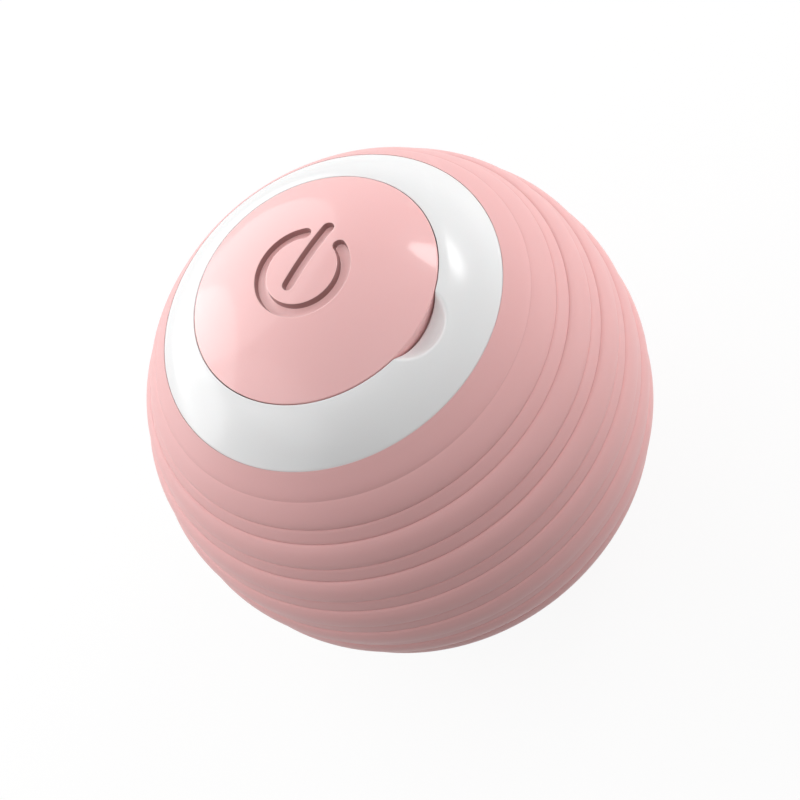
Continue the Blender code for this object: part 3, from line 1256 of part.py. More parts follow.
def main():
    for item in list(bpy.data.objects):
        bpy.data.objects.remove(item)
    silicone = finish("sleeve_silicone", (0.86, 0.52, 0.52), 0.50)
    cap_silicone = finish("cap_silicone", (0.90, 0.56, 0.56), 0.45)
    white = finish("white_plastic", (0.88, 0.88, 0.88), 0.28)
    inner_white = finish("shell_plastic", (0.72, 0.72, 0.70), 0.45)
    grey = finish("grey_plastic", (0.35, 0.36, 0.38), 0.50)
    black = finish("black_plastic", (0.02, 0.02, 0.02), 0.40)
    nylon = finish("gear_nylon", (0.80, 0.80, 0.74), 0.45)
    steel = finish("steel", (0.60, 0.60, 0.62), 0.30, 1.0)
    brass = finish("brass", (0.75, 0.58, 0.28), 0.32, 1.0)
    zinc = finish("zinc", (0.42, 0.43, 0.45), 0.50, 1.0)
    board = finish("board_green", (0.02, 0.16, 0.07), 0.45)
    wrap = finish("battery_wrap", (0.12, 0.20, 0.42), 0.35)
    foam = finish("foam", (0.05, 0.05, 0.05), 0.90)
    lens = finish("led_lens", (0.85, 0.20, 0.16), 0.20)
    red = finish("lead_red", (0.60, 0.03, 0.03), 0.45)

    make_sleeve(silicone)
    make_shell_front(inner_white)
    make_shell_rear(inner_white)
    make_bezel(white)
    make_cap(cap_silicone)
    make_tether(cap_silicone)
    make_button_disc(white)
    for number, angle in enumerate(WELL_SCREW_ANGLES, 1):
        length = WELL_SCREW_SEAT_Z - (BOARD_Z - SEAT_GAP - SCREW_BITE) - FIT_GAP
        recess(screw(f"well_screw_{number}", polar(WELL_SCREW_REACH, angle), WELL_SCREW_SEAT_Z, length, steel))
    make_usb(steel, black)
    make_board(board)
    make_switch(steel, black)
    make_chip("controller_chip", CHIP_SIZE, CHIP_PLACE, black)
    make_chip("charger_chip", CHARGER_SIZE, CHARGER_PLACE, black)
    make_tilt_sensor(steel)
    make_led("led_1", -1, lens)
    make_led("led_2", 1, lens)
    make_chassis(grey)
    make_gear_plate(grey)
    for number, angle in enumerate(SHELL_POST_ANGLES, 1):
        length = DECK_WALL + SEAT_GAP + SCREW_BITE - FIT_GAP
        screw(f"chassis_screw_{number}", polar(SHELL_POST_REACH, angle), DECK_TOP_Z, length, steel)
    for number, place in enumerate(GEAR_POST_PLACES, 1):
        seat = PLATE_Z + SCREW_HEAD_HEIGHT + FIT_GAP
        length = PLATE_Z + PLATE_WALL - seat + SEAT_GAP + SCREW_BITE - FIT_GAP
        screw(f"plate_screw_{number}", place, seat, length, steel, down=False)

    turn_a = meshed_turn(0.0, PINION_TEETH, WHEEL_TEETH, MOTOR_ANGLE + math.pi)
    turn_b = meshed_turn(turn_a, PINION_TEETH, WHEEL_TEETH, GEAR_A_ANGLE + math.pi)
    turn_out = meshed_turn(turn_b, PINION_TEETH, WHEEL_TEETH, GEAR_B_ANGLE + math.pi)
    make_compound("gear_a", GEAR_A_PLACE, 2, turn_a, nylon)
    make_compound("gear_b", GEAR_B_PLACE, 1, turn_b, nylon)
    make_arbor("arbor_a", GEAR_A_PLACE, steel)
    make_arbor("arbor_b", GEAR_B_PLACE, steel)
    make_output(turn_out, nylon, steel, brass, zinc, black)
    bell_top = make_motor(steel, black, brass)
    battery_top = make_battery(wrap, foam, inner_white)
    make_leads(battery_top, bell_top, red, black)
    settle()


main()
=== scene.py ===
"""Interactive cat ball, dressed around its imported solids.

A ribbed silicone sleeve, a white ring with a finger notch, and a press cap with a power symbol. Under the
cap lie the well with its strap, its button disc, its socket and its screws. Lengths are in metres, in the
solids' own frame: +Z runs up through the cap, and -Y points to the finger notch.
"""

from __future__ import annotations

import json
import logging
import math
from collections.abc import Callable, Sequence
from dataclasses import dataclass, field
from enum import Enum

import bmesh
import bpy
from mathutils import Matrix, Vector
from mathutils.geometry import delaunay_2d_cdt

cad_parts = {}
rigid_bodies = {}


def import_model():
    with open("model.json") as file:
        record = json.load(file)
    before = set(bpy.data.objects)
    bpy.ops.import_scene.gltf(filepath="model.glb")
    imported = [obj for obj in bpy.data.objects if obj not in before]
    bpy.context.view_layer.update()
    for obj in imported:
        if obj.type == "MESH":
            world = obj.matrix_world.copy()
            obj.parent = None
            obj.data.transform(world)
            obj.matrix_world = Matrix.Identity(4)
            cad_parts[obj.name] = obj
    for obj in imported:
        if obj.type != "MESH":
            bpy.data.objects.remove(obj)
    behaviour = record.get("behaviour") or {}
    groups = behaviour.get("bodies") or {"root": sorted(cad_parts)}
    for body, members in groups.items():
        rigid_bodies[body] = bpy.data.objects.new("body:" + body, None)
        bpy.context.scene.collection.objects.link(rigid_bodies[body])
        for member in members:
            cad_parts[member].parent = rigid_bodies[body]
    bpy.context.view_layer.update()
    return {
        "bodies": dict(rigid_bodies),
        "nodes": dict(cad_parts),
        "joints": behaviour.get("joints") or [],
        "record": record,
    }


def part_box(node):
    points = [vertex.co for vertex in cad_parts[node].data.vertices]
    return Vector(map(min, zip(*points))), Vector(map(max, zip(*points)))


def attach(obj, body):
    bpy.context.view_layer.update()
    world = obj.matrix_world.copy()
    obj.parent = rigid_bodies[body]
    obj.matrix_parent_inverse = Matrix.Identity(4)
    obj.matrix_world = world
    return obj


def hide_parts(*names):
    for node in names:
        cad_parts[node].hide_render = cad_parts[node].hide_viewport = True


LOG = logging.getLogger("cat_ball")
TAU = 2 * math.pi
# Points closer than this are welded.
WELD = 1e-8
# Edges that turn by more degrees than this stay sharp.
CREASE = 35.0
# Where the middle of a rounded edge lies, as a share of its reach.
ROUND_SHARE = 0.3
# A Mix node's sockets for two colours, and for the one that comes out.
MIX_A, MIX_B, MIX_OUT = 6, 7, 2
# How sharply a surface turns where it starts to count as a crest or a hollow, and where it wholly is one.
# Crests are lightened as wear and painted highlight, hollows darkened as painted shade.
# A flat surface has 0.5.
CREST_TURN = (0.505, 0.60)
HOLLOW_TURN = (0.495, 0.40)
# How far a wall faces outwards where its painted shade starts, and where it is wholly shaded.
WALL_SHADE_FACING = (0.97, 0.72)
# Height of the ball's centre, and how far from the axis the cap's pressing reaches, which is as far as the
# painted wall shade goes.
BALL_CENTRE = 0.0210
PRESSING_REACH = 0.0052

Point = tuple[float, float]
Profile = list[Point]
Loop = list[tuple[float, float, float]]
Colour = tuple[float, float, float]
Values = dict[str | int, object]


class Body(Enum):
    """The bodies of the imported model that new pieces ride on."""

    CASE = "case"
    STRAP = "strap"
    LID = "lid"
    BUTTON = "button"


class Slot(Enum):
    """The record's material slots that new pieces take their finish from."""

    SILICONE = "silicone"
    WHITE = "white_plastic"
    STEEL = "steel"
    BLACK = "black_plastic"
    BRASS = "brass"


class Join(Enum):
    """What a helper shape does to a piece."""

    ADD = "UNION"
    CUT = "DIFFERENCE"


class Marks(Enum):
    """What breaks up a surface: the moulding's grain, a tool's marks, foam cells, or a board's tracks."""

    GRAIN = "fine grain"
    TURNING = "turning marks"
    CELLS = "foam cells"
    TRACKS = "board tracks"


class Tint(Enum):
    """What shifts a surface's colour from place to place: a random tone, crests and hollows lightened and
    darkened as wear and painted light, and painted shade on a pressing's walls.
    """

    MOTTLE = "mottle"
    WEAR_AND_PAINTED_LIGHT = "rubbed edge"
    WALL_SHADE = "steep walls"


# Shapes


def polar(radius: float, angle: float, centre: Point = (0.0, 0.0)) -> Point:
    """The point in plan at this distance and bearing from a centre."""
    return centre[0] + radius * math.cos(angle), centre[1] + radius * math.sin(angle)


def even(low: float, high: float, count: int) -> list[float]:
    """count + 1 even steps from low to high."""
    return [low + (high - low) * step / count for step in range(count + 1)]


def bearings(steps: int) -> list[float]:
    """Even angles round a full turn."""
    return [TAU * step / steps for step in range(steps)]


def smooth(share: float) -> float:
    """An S-shaped ramp from 0 to 1."""
    share = min(max(share, 0.0), 1.0)
    return share * share * (3 - 2 * share)


def soft_floor(value: float, width: float) -> float:
    """Replaces a negative value by 0, with the turn between the two rounded.

    Args:
        value: The value.
        width: How far to each side of 0 the rounding reaches.

    Returns:
        The rounded value.
    """
    if value >= width:
        return value
    return 0.0 if value <= -width else (value + width) ** 2 / (4 * width)


def fillet(profile: Profile, index: int, radius: float, count: int = 4) -> Profile:
    """Rounds one corner of a profile.

    Args:
        profile: The points, such as (radius, height).
        index: Which point is the corner.
        radius: How far the round reaches along each side.
        count: How many facets it has.

    Returns:
        The profile with the corner's point replaced by a curve.
    """
    before, corner, after = (Vector(profile[place]) for place in (index - 1, index, index + 1))
    start = corner + (before - corner).normalized() * radius
    end = corner + (after - corner).normalized() * radius
    curve = []
    for share in even(0, 1, count):
        point = start.lerp(corner, share).lerp(corner.lerp(end, share), share)
        curve.append((point.x, point.y))
    return profile[:index] + curve + profile[index + 1 :]


def fillets(profile: Profile, corners: dict[int, float], count: int = 4) -> Profile:
    """Rounds several corners of a profile.

    Args:
        profile: The points.
        corners: Each corner's index, and how far its round reaches.
        count: How many facets each round has.

    Returns:
        The profile with those corners rounded.
    """
    for index in sorted(corners, reverse=True):
        profile = fillet(profile, index, corners[index], count)
    return profile


def rounded(outline: Profile, radius: float, count: int = 4) -> Profile:
    """Rounds every corner of a closed outline.

    Args:
        outline: The corners.
        radius: How far each round reaches along its sides.
        count: How many facets it has.

    Returns:
        The rounded outline.
    """
    points: Profile = []
    for before, corner, after in zip(outline[-1:] + outline, outline, outline[1:] + outline[:1]):
        points += fillet([before, corner, after], 1, radius, count)[1:-1]
    return points


def ring_loops(profile: Profile, angles: Sequence[float]) -> list[Loop]:
    """Turns a profile about +Z through these angles."""
    return [[(*polar(radius, angle), height) for angle in angles] for radius, height in profile]


def stacked(rows: Sequence[tuple[Profile, float]]) -> list[Loop]:
    """Lifts plan outlines to their heights."""
    return [[(x, y, height) for x, y in outline] for outline, height in rows]


def mesh_of_loops(loops: Sequence[Loop], closed: bool) -> bmesh.types.BMesh:
    """Skins loops of equal length with quads.

    Args:
        loops: Closed loops of points, in order along the form.
        closed: Whether the last loop joins the first. Otherwise each end is filled.

    Returns:
        A mesh with points that coincide welded.
    """
    bm = bmesh.new()
    rows = [[bm.verts.new(point) for point in loop] for loop in loops]
    count = len(rows[0])
    for row, after in zip(rows, rows[1:] + rows[:1] if closed else rows[1:]):
        for step in range(count):
            near = (step + 1) % count
            bm.faces.new((row[step], row[near], after[near], after[step]))
    if not closed:
        bm.faces.new(rows[0][::-1])
        bm.faces.new(rows[-1])
    return tidy(bm)


def tidy(bm: bmesh.types.BMesh) -> bmesh.types.BMesh:
    """Welds points that coincide, and turns the faces outwards.

    Args:
        bm: The mesh, which is changed.

    Returns:
        The same mesh.
    """
    bmesh.ops.remove_doubles(bm, verts=bm.verts, dist=WELD)
    bmesh.ops.dissolve_degenerate(bm, edges=bm.edges, dist=WELD)
    bmesh.ops.recalc_face_normals(bm, faces=bm.faces)
    return bm


def placed(bm: bmesh.types.BMesh, move: Matrix) -> bmesh.types.BMesh:
    """Moves a mesh, and returns it."""
    bmesh.ops.transform(bm, matrix=move, verts=bm.verts)
    return bm


def turned(profile: Profile, steps: int) -> bmesh.types.BMesh:
    """A solid of revolution about +Z from a closed profile."""
    return mesh_of_loops(ring_loops(profile, bearings(steps)), closed=True)


def rod(radius: float, low: float, high: float, steps: int, edge: float, place: Point) -> bmesh.types.BMesh:
    """An upright cylinder with rounded edges.

    Args:
        radius: Its radius.
        low: Height of its foot.
        high: Height of its top.
        steps: How many sides it has.
        edge: How far its edges are rounded.
        place: Its axis in plan.

    Returns:
        The mesh.
    """
    profile = fillets([(0.0, high), (radius, high), (radius, low), (0.0, low)], {1: edge, 2: edge})
    return placed(turned(profile, steps), Matrix.Translation((*place, 0.0)))


def prism(outline: Profile, low: float, high: float) -> bmesh.types.BMesh:
    """An upright prism of this plan outline."""
    return mesh_of_loops(stacked([(outline, low), (outline, high)]), closed=False)


def slot_outline(width: float, depth: float, steps: int, centre: Point) -> Profile:
    """The outline of a slot with round ends along X.

    Args:
        width: Its length along X, with its ends.
        depth: Its width along Y.
        steps: How many facets each end has.
        centre: Its middle.

    Returns:
        The closed outline.
    """
    radius = depth / 2
    points: Profile = []
    for side, start in ((1, -math.pi / 2), (-1, math.pi / 2)):
        end = (centre[0] + side * (width / 2 - radius), centre[1])
        points += [polar(radius, start + math.pi * step / steps, end) for step in range(steps + 1)]
    return points


def even_outline(outline: Profile, count: int) -> Profile:
    """Spreads points evenly along a closed outline.

    Args:
        outline: The corners of the outline.
        count: How many points it gets on each side, between the corners.

    Returns:
        The outline with its corners kept.
    """
    points: Profile = []
    for start, end in zip(outline, outline[1:] + outline[:1]):
        points += [tuple(Vector(start).lerp(Vector(end), step / count)) for step in range(count)]
    return points


def eye_plate(
    outline: Profile, pivot: Point, hole: float, faces: Point, side: int, steps: int = 3
) -> bmesh.types.BMesh:
    """A plate across X with a round hole.

    Args:
        outline: Its outline as (y, z), which a ray from the pivot crosses once.
        pivot: The hole's centre as (y, z).
        hole: The hole's radius.
        faces: How far its two faces stand from the middle plane.
        side: -1 for the left of that plane, 1 for the right.
        steps: How many points each side of the outline gets.

    Returns:
        The mesh.
    """
    low, high = sorted(side * face for face in faces)
    points = even_outline(outline, steps)
    round_hole = [polar(hole, math.atan2(z - pivot[1], y - pivot[0]), pivot) for y, z in points]
    walls = ((low, points), (high, points), (high, round_hole), (low, round_hole))
    return mesh_of_loops([[(x, y, z) for y, z in shape] for x, shape in walls], closed=True)


def shade(mesh: bpy.types.Mesh, crease: float = CREASE) -> None:
    """Shades a mesh smooth, apart from edges that turn by more degrees than the crease."""
    mesh.shade_smooth()
    mesh.set_sharp_from_angle(angle=math.radians(crease))


def object_of(name: str, bm: bmesh.types.BMesh, crease: float = CREASE) -> bpy.types.Object:
    """Makes a smooth-shaded object of a mesh.

    Args:
        name: The piece's name.
        bm: The mesh, which is used up.
        crease: Edges that turn by more degrees than this stay sharp.

    Returns:
        The piece.
    """
    mesh = bpy.data.meshes.new(name)
    bm.to_mesh(mesh)
    bm.free()
    shade(mesh, crease)
    item = bpy.data.objects.new(name, mesh)
    bpy.context.scene.collection.objects.link(item)
    return item


def combine(item: bpy.types.Object, helper: bmesh.types.BMesh, join: Join) -> None:
    """Adds or cuts a helper shape with a Boolean, and removes the helper.

    Args:
        item: The piece.
        helper: The shape to add or to cut away.
        join: Which of the two.
    """
    other = object_of("helper", helper)
    step = item.modifiers.new("join", "BOOLEAN")
    step.operation = join.value
    step.solver = "EXACT"
    step.object = other
    graph = bpy.context.evaluated_depsgraph_get()
    mesh = bpy.data.meshes.new_from_object(item.evaluated_get(graph), depsgraph=graph)
    item.modifiers.clear()
    item.data = mesh
    shade(mesh)
    bpy.data.objects.remove(other)


def soften(item: bpy.types.Object, width: float) -> None:
    """Breaks the sharp edges of a piece, and evens its shading.

    Args:
        item: The piece.
        width: How far each edge is cut back.
    """
    edge = item.modifiers.new("edges", "BEVEL")
    edge.width = width
    edge.segments = 1
    edge.limit_method = "ANGLE"
    edge.angle_limit = math.radians(CREASE)
    edge.harden_normals = True


# Shared effects


@dataclass
class Tree:
    """A node tree that is being wired."""

    tree: bpy.types.NodeTree

    def add(self, kind: str, values: Values | None = None, **settings: object) -> bpy.types.Node:
        """Adds a node.

        Args:
            kind: The node's type, without ShaderNode.
            values: Values for its inputs, by name or place.
            settings: Its own settings, such as an operation.

        Returns:
            The node.
        """
        node = self.tree.nodes.new(f"ShaderNode{kind}")
        for name, value in settings.items():
            setattr(node, name, value)
        for socket, value in (values or {}).items():
            node.inputs[socket].default_value = value
        return node

    def link(self, *pairs: tuple[bpy.types.NodeSocket, bpy.types.NodeSocket]) -> None:
        """Links pairs of sockets."""
        for source, target in pairs:
            self.tree.links.new(source, target)

    def ends(self) -> tuple[bpy.types.NodeOutputs, bpy.types.NodeInputs]:
        """Adds a group's two end nodes.

        Returns:
            The outputs of its input node, and the inputs of its output node.
        """
        start = self.tree.nodes.new("NodeGroupInput")
        end = self.tree.nodes.new("NodeGroupOutput")
        return start.outputs, end.inputs


def new_group(name: str, inputs: dict[str, float | Colour], outputs: dict[str, type]) -> Tree:
    """An empty shader node group.

    Args:
        name: The group's name.
        inputs: Socket name to default: a number or a colour.
        outputs: Socket name to type: float or tuple, for a colour.

    Returns:
        The group's tree.
    """
    group = bpy.data.node_groups.new(name, "ShaderNodeTree")
    for label, value in inputs.items():
        colour = isinstance(value, tuple)
        kind = "NodeSocketColor" if colour else "NodeSocketFloat"
        socket = group.interface.new_socket(label, in_out="INPUT", socket_type=kind)
        socket.default_value = (*value, 1) if colour else value
    for label, kind_of in outputs.items():
        kind = "NodeSocketColor" if kind_of is tuple else "NodeSocketFloat"
        group.interface.new_socket(label, in_out="OUTPUT", socket_type=kind)
    return Tree(group)


def drifting_gloss(tree: Tree, start: bpy.types.NodeOutputs, end: bpy.types.NodeInputs) -> None:
    """Wires a group's Roughness as Gloss, give or take Spread, by a slow noise.

    Args:
        tree: The group's tree.
        start: The outputs of its input node.
        end: The inputs of its output node.
    """
    place = tree.add("TexCoord")
    drift = tree.add("TexNoise", {"Detail": 4})
    centre = tree.add("Math", {1: 0.5}, operation="SUBTRACT")
    spread = tree.add("Math", operation="MULTIPLY_ADD")
    tree.link(
        (place.outputs["Object"], drift.inputs["Vector"]),
        (start["Drift"], drift.inputs["Scale"]),
        (drift.outputs["Fac"], centre.inputs[0]),
        (centre.outputs[0], spread.inputs[0]),
        (start["Spread"], spread.inputs[1]),
        (start["Gloss"], spread.inputs[2]),
        (spread.outputs[0], end["Roughness"]),
    )


MARK_INPUTS: dict[str, float | Colour] = {"Scale": 6000.0, "Drift": 160.0, "Gloss": 0.4, "Spread": 0.05}
MARK_OUTPUTS: dict[str, type] = {"Height": float, "Roughness": float, "Mask": float}


def fine_grain() -> None:
    """The orange-peel of a moulded surface, with rare specks of dust on it."""
    tree = new_group(Marks.GRAIN.value, MARK_INPUTS, MARK_OUTPUTS)
    start, end = tree.ends()
    place = tree.add("TexCoord")
    peel = tree.add("TexNoise", {"Detail": 3})
    share = tree.add("Math", {1: 0.35}, operation="MULTIPLY")
    speck = tree.add("TexVoronoi")
    rare = tree.add("MapRange", {"From Min": 0.16, "From Max": 0.04})
    tree.link(
        (place.outputs["Object"], peel.inputs["Vector"]),
        (place.outputs["Object"], speck.inputs["Vector"]),
        (start["Scale"], peel.inputs["Scale"]),
        (start["Scale"], share.inputs[0]),
        (share.outputs[0], speck.inputs["Scale"]),
        (speck.outputs["Distance"], rare.inputs["Value"]),
        (peel.outputs["Fac"], end["Height"]),
        (rare.outputs["Result"], end["Mask"]),
    )
    drifting_gloss(tree, start, end)


def turning_marks() -> None:
    """Fine lines round the Z axis, as a lathe or a drawing die leaves them."""
    tree = new_group(Marks.TURNING.value, MARK_INPUTS, MARK_OUTPUTS)
    start, end = tree.ends()
    place = tree.add("TexCoord")
    stretch = tree.add("Mapping", {"Scale": (0.03, 0.03, 1.0)})
    lines = tree.add("TexNoise", {"Detail": 2})
    strong = tree.add("MapRange", {"From Min": 0.55, "From Max": 0.8})
    tree.link(
        (place.outputs["Object"], stretch.inputs["Vector"]),
        (stretch.outputs["Vector"], lines.inputs["Vector"]),
        (start["Scale"], lines.inputs["Scale"]),
        (lines.outputs["Fac"], strong.inputs["Value"]),
        (lines.outputs["Fac"], end["Height"]),
        (strong.outputs["Result"], end["Mask"]),
    )
    drifting_gloss(tree, start, end)


def foam_cells() -> None:
    """The open cells of a foam pad."""
    tree = new_group(Marks.CELLS.value, MARK_INPUTS, MARK_OUTPUTS)
    start, end = tree.ends()
    place = tree.add("TexCoord")
    cells = tree.add("TexVoronoi")
    open_cell = tree.add("MapRange", {"From Min": 0.5, "From Max": 0.2})
    tree.link(
        (place.outputs["Object"], cells.inputs["Vector"]),
        (start["Scale"], cells.inputs["Scale"]),
        (cells.outputs["Distance"], open_cell.inputs["Value"]),
        (cells.outputs["Distance"], end["Height"]),
        (open_cell.outputs["Result"], end["Mask"]),
    )
    drifting_gloss(tree, start, end)


def board_tracks() -> None:
    """Copper tracks that show through a board's solder mask."""
    tree = new_group(Marks.TRACKS.value, MARK_INPUTS, MARK_OUTPUTS)
    start, end = tree.ends()
    place = tree.add("TexCoord")
    gaps = {"Mortar Size": 0.035, "Mortar Smooth": 0.3, "Row Height": 0.35}
    tracks = tree.add("TexBrick", gaps, offset=0.37)
    tree.link(
        (place.outputs["Object"], tracks.inputs["Vector"]),
        (start["Scale"], tracks.inputs["Scale"]),
        (tracks.outputs["Fac"], end["Height"]),
        (tracks.outputs["Fac"], end["Mask"]),
    )
    drifting_gloss(tree, start, end)


def mottle() -> None:
    """A slow, faint shift of one colour towards another."""
    tree = new_group(
        Tint.MOTTLE.value,
        {"Colour": (0.8, 0.8, 0.8), "Other": (0.7, 0.7, 0.7), "Amount": 0.3, "Scale": 120.0},
        {"Colour": tuple},
    )
    start, end = tree.ends()
    place = tree.add("TexCoord")
    cloud = tree.add("TexNoise", {"Detail": 5})
    amount = tree.add("Math", operation="MULTIPLY")
    mix = tree.add("Mix", data_type="RGBA")
    tree.link(
        (place.outputs["Object"], cloud.inputs["Vector"]),
        (start["Scale"], cloud.inputs["Scale"]),
        (cloud.outputs["Fac"], amount.inputs[0]),
        (start["Amount"], amount.inputs[1]),
        (amount.outputs[0], mix.inputs["Factor"]),
        (start["Colour"], mix.inputs[MIX_A]),
        (start["Other"], mix.inputs[MIX_B]),
        (mix.outputs[MIX_OUT], end["Colour"]),
    )


def wear_and_painted_light() -> None:
    """Lightens the crests of a surface and darkens its hollows, by how sharply it turns: the crests as wear
    and painted highlight, the hollows as painted shade.
    """
    tree = new_group(
        Tint.WEAR_AND_PAINTED_LIGHT.value,
        {"Colour": (0.8, 0.8, 0.8), "Crest": (0.9, 0.9, 0.9), "Hollow": (0.5, 0.5, 0.5), "Amount": 0.3},
        {"Colour": tuple},
    )
    start, end = tree.ends()
    shape = tree.add("NewGeometry")
    colour = start["Colour"]
    for label, (low, high) in (("Crest", CREST_TURN), ("Hollow", HOLLOW_TURN)):
        sharp = tree.add("MapRange", {"From Min": low, "From Max": high})
        amount = tree.add("Math", operation="MULTIPLY")
        mix = tree.add("Mix", data_type="RGBA")
        tree.link(
            (shape.outputs["Pointiness"], sharp.inputs["Value"]),
            (sharp.outputs["Result"], amount.inputs[0]),
            (start["Amount"], amount.inputs[1]),
            (amount.outputs[0], mix.inputs["Factor"]),
            (colour, mix.inputs[MIX_A]),
            (start[label], mix.inputs[MIX_B]),
        )
        colour = mix.outputs[MIX_OUT]
    tree.link((colour, end["Colour"]))


def painted_wall_shade() -> None:
    """Paints shade on what turns away from the way out of the ball's centre, within a reach of the ball's
    axis: the pressing's walls are darkened as painted shade.
    """
    tree = new_group(
        Tint.WALL_SHADE.value,
        {"Colour": (0.8, 0.8, 0.8), "Shade": (0.3, 0.3, 0.3), "Amount": 0.8, "Centre": 0.02, "Reach": 0.005},
        {"Colour": tuple},
    )
    start, end = tree.ends()
    place = tree.add("TexCoord")
    centre = tree.add("CombineXYZ")
    away = tree.add("VectorMath", operation="SUBTRACT")
    way = tree.add("VectorMath", operation="NORMALIZE")
    facing = tree.add("VectorMath", operation="DOT_PRODUCT")
    steep = tree.add("MapRange", {"From Min": WALL_SHADE_FACING[0], "From Max": WALL_SHADE_FACING[1]})
    flat = tree.add("VectorMath", {1: (1, 1, 0)}, operation="MULTIPLY")
    reach = tree.add("VectorMath", operation="LENGTH")
    near = tree.add("Math", operation="LESS_THAN")
    inside = tree.add("Math", operation="MULTIPLY")
    amount = tree.add("Math", operation="MULTIPLY")
    mix = tree.add("Mix", data_type="RGBA")
    tree.link(
        (start["Centre"], centre.inputs["Z"]),
        (place.outputs["Object"], away.inputs[0]),
        (centre.outputs[0], away.inputs[1]),
        (away.outputs[0], way.inputs[0]),
        (way.outputs[0], facing.inputs[0]),
        (place.outputs["Normal"], facing.inputs[1]),
        (facing.outputs["Value"], steep.inputs["Value"]),
        (place.outputs["Object"], flat.inputs[0]),
        (flat.outputs[0], reach.inputs[0]),
        (reach.outputs["Value"], near.inputs[0]),
        (start["Reach"], near.inputs[1]),
        (steep.outputs["Result"], inside.inputs[0]),
        (near.outputs[0], inside.inputs[1]),
        (inside.outputs[0], amount.inputs[0]),
        (start["Amount"], amount.inputs[1]),
        (amount.outputs[0], mix.inputs["Factor"]),
        (start["Colour"], mix.inputs[MIX_A]),
        (start["Shade"], mix.inputs[MIX_B]),
        (mix.outputs[MIX_OUT], end["Colour"]),
    )


GROUPS: dict[Marks | Tint, Callable[[], None]] = {
    Marks.GRAIN: fine_grain,
    Marks.TURNING: turning_marks,
    Marks.CELLS: foam_cells,
    Marks.TRACKS: board_tracks,
    Tint.MOTTLE: mottle,
    Tint.WEAR_AND_PAINTED_LIGHT: wear_and_painted_light,
    Tint.WALL_SHADE: painted_wall_shade,
}


def effect(tree: Tree, kind: Marks | Tint, values: Values) -> bpy.types.Node:
    """Places a shared effect in a material, and builds it the first time.

    Args:
        tree: The material's tree.
        kind: Which effect.
        values: Values for its inputs.

    Returns:
        The group node.
    """
    if kind.value not in bpy.data.node_groups:
        GROUPS[kind]()
    node = tree.add("Group", node_tree=bpy.data.node_groups[kind.value])
    for socket, value in values.items():
        node.inputs[socket].default_value = value
    return node


# Finishes


@dataclass(frozen=True)
class Finish:
    """A surface of one material.

    Its colour drifts faintly towards a second one, its crests are lightened as wear and painted highlight and
    its hollows darkened as painted shade, and its marks break up its gloss. A scale is in cells per metre, a
    depth is in metres, an amount is a share, and a gloss is a roughness. The wall shade is painted shade on
    the walls of a pressing that turn steeply away.
    """

    name: str
    colour: Colour
    other: Colour
    crest: Colour
    hollow: Colour
    marks: Marks = Marks.GRAIN
    mark_colour: Colour = (0.9, 0.9, 0.9)
    mark_amount: float = 0.03
    mark_scale: float = 6000.0
    mark_depth: float = 0.000004
    mark_strength: float = 0.4
    gloss: float = 0.4
    gloss_spread: float = 0.06
    metallic: float = 0.0
    mottle_amount: float = 0.35
    mottle_scale: float = 110.0
    wear_and_light_amount: float = 0.3
    wall_shade: Colour = (0.3, 0.3, 0.3)
    wall_shade_amount: float = 0.0
    coat: float = 0.0
    coat_gloss: float = 0.1
    subsurface: float = 0.0
    subsurface_depth: float = 0.0006
    subsurface_radius: Colour = (1.0, 0.45, 0.35)
    specular: float = 0.5
    sheen: float = 0.0
    sheen_gloss: float = 0.4

    def make(self) -> bpy.types.Material:
        """Builds the material, or finds the one already built.

        Returns:
            The material.
        """
        if self.name in bpy.data.materials:
            return bpy.data.materials[self.name]
        material = bpy.data.materials.new(self.name)
        material.use_nodes = True
        tree = Tree(material.node_tree)
        shader = material.node_tree.nodes["Principled BSDF"]
        tone = effect(
            tree,
            Tint.MOTTLE,
            {
                "Colour": (*self.colour, 1),
                "Other": (*self.other, 1),
                "Amount": self.mottle_amount,
                "Scale": self.mottle_scale,
            },
        )
        # Crests lightened as wear and painted highlight, hollows darkened as painted shade.
        wear_and_light = effect(
            tree,
            Tint.WEAR_AND_PAINTED_LIGHT,
            {"Crest": (*self.crest, 1), "Hollow": (*self.hollow, 1), "Amount": self.wear_and_light_amount},
        )
        marks = effect(
            tree, self.marks, {"Scale": self.mark_scale, "Gloss": self.gloss, "Spread": self.gloss_spread}
        )
        # Painted shade on the walls of a pressing that turn steeply away, near the ball's axis.
        walls = effect(
            tree,
            Tint.WALL_SHADE,
            {
                "Shade": (*self.wall_shade, 1),
                "Amount": self.wall_shade_amount,
                "Centre": BALL_CENTRE,
                "Reach": PRESSING_REACH,
            },
        )
        faint = tree.add("Math", {1: self.mark_amount}, operation="MULTIPLY")
        marked = tree.add("Mix", {MIX_B: (*self.mark_colour, 1)}, data_type="RGBA")
        bump = tree.add("Bump", {"Distance": self.mark_depth, "Strength": self.mark_strength})
        tree.link(
            (tone.outputs["Colour"], wear_and_light.inputs["Colour"]),
            (marks.outputs["Mask"], faint.inputs[0]),
            (faint.outputs[0], marked.inputs["Factor"]),
            (wear_and_light.outputs["Colour"], walls.inputs["Colour"]),
            (walls.outputs["Colour"], marked.inputs[MIX_A]),
            (marked.outputs[MIX_OUT], shader.inputs["Base Color"]),
            (marks.outputs["Roughness"], shader.inputs["Roughness"]),
            (marks.outputs["Height"], bump.inputs["Height"]),
            (bump.outputs["Normal"], shader.inputs["Normal"]),
        )
        for socket, value in {
            "Metallic": self.metallic,
            "Coat Weight": self.coat,
            "Coat Roughness": self.coat_gloss,
            "Subsurface Weight": self.subsurface,
            "Subsurface Scale": self.subsurface_depth,
            "Subsurface Radius": self.subsurface_radius,
            "Specular IOR Level": self.specular,
            "Sheen Weight": self.sheen,
            "Sheen Roughness": self.sheen_gloss,
        }.items():
            shader.inputs[socket].default_value = value
        material.diffuse_color = (*self.colour, 1)
        return material
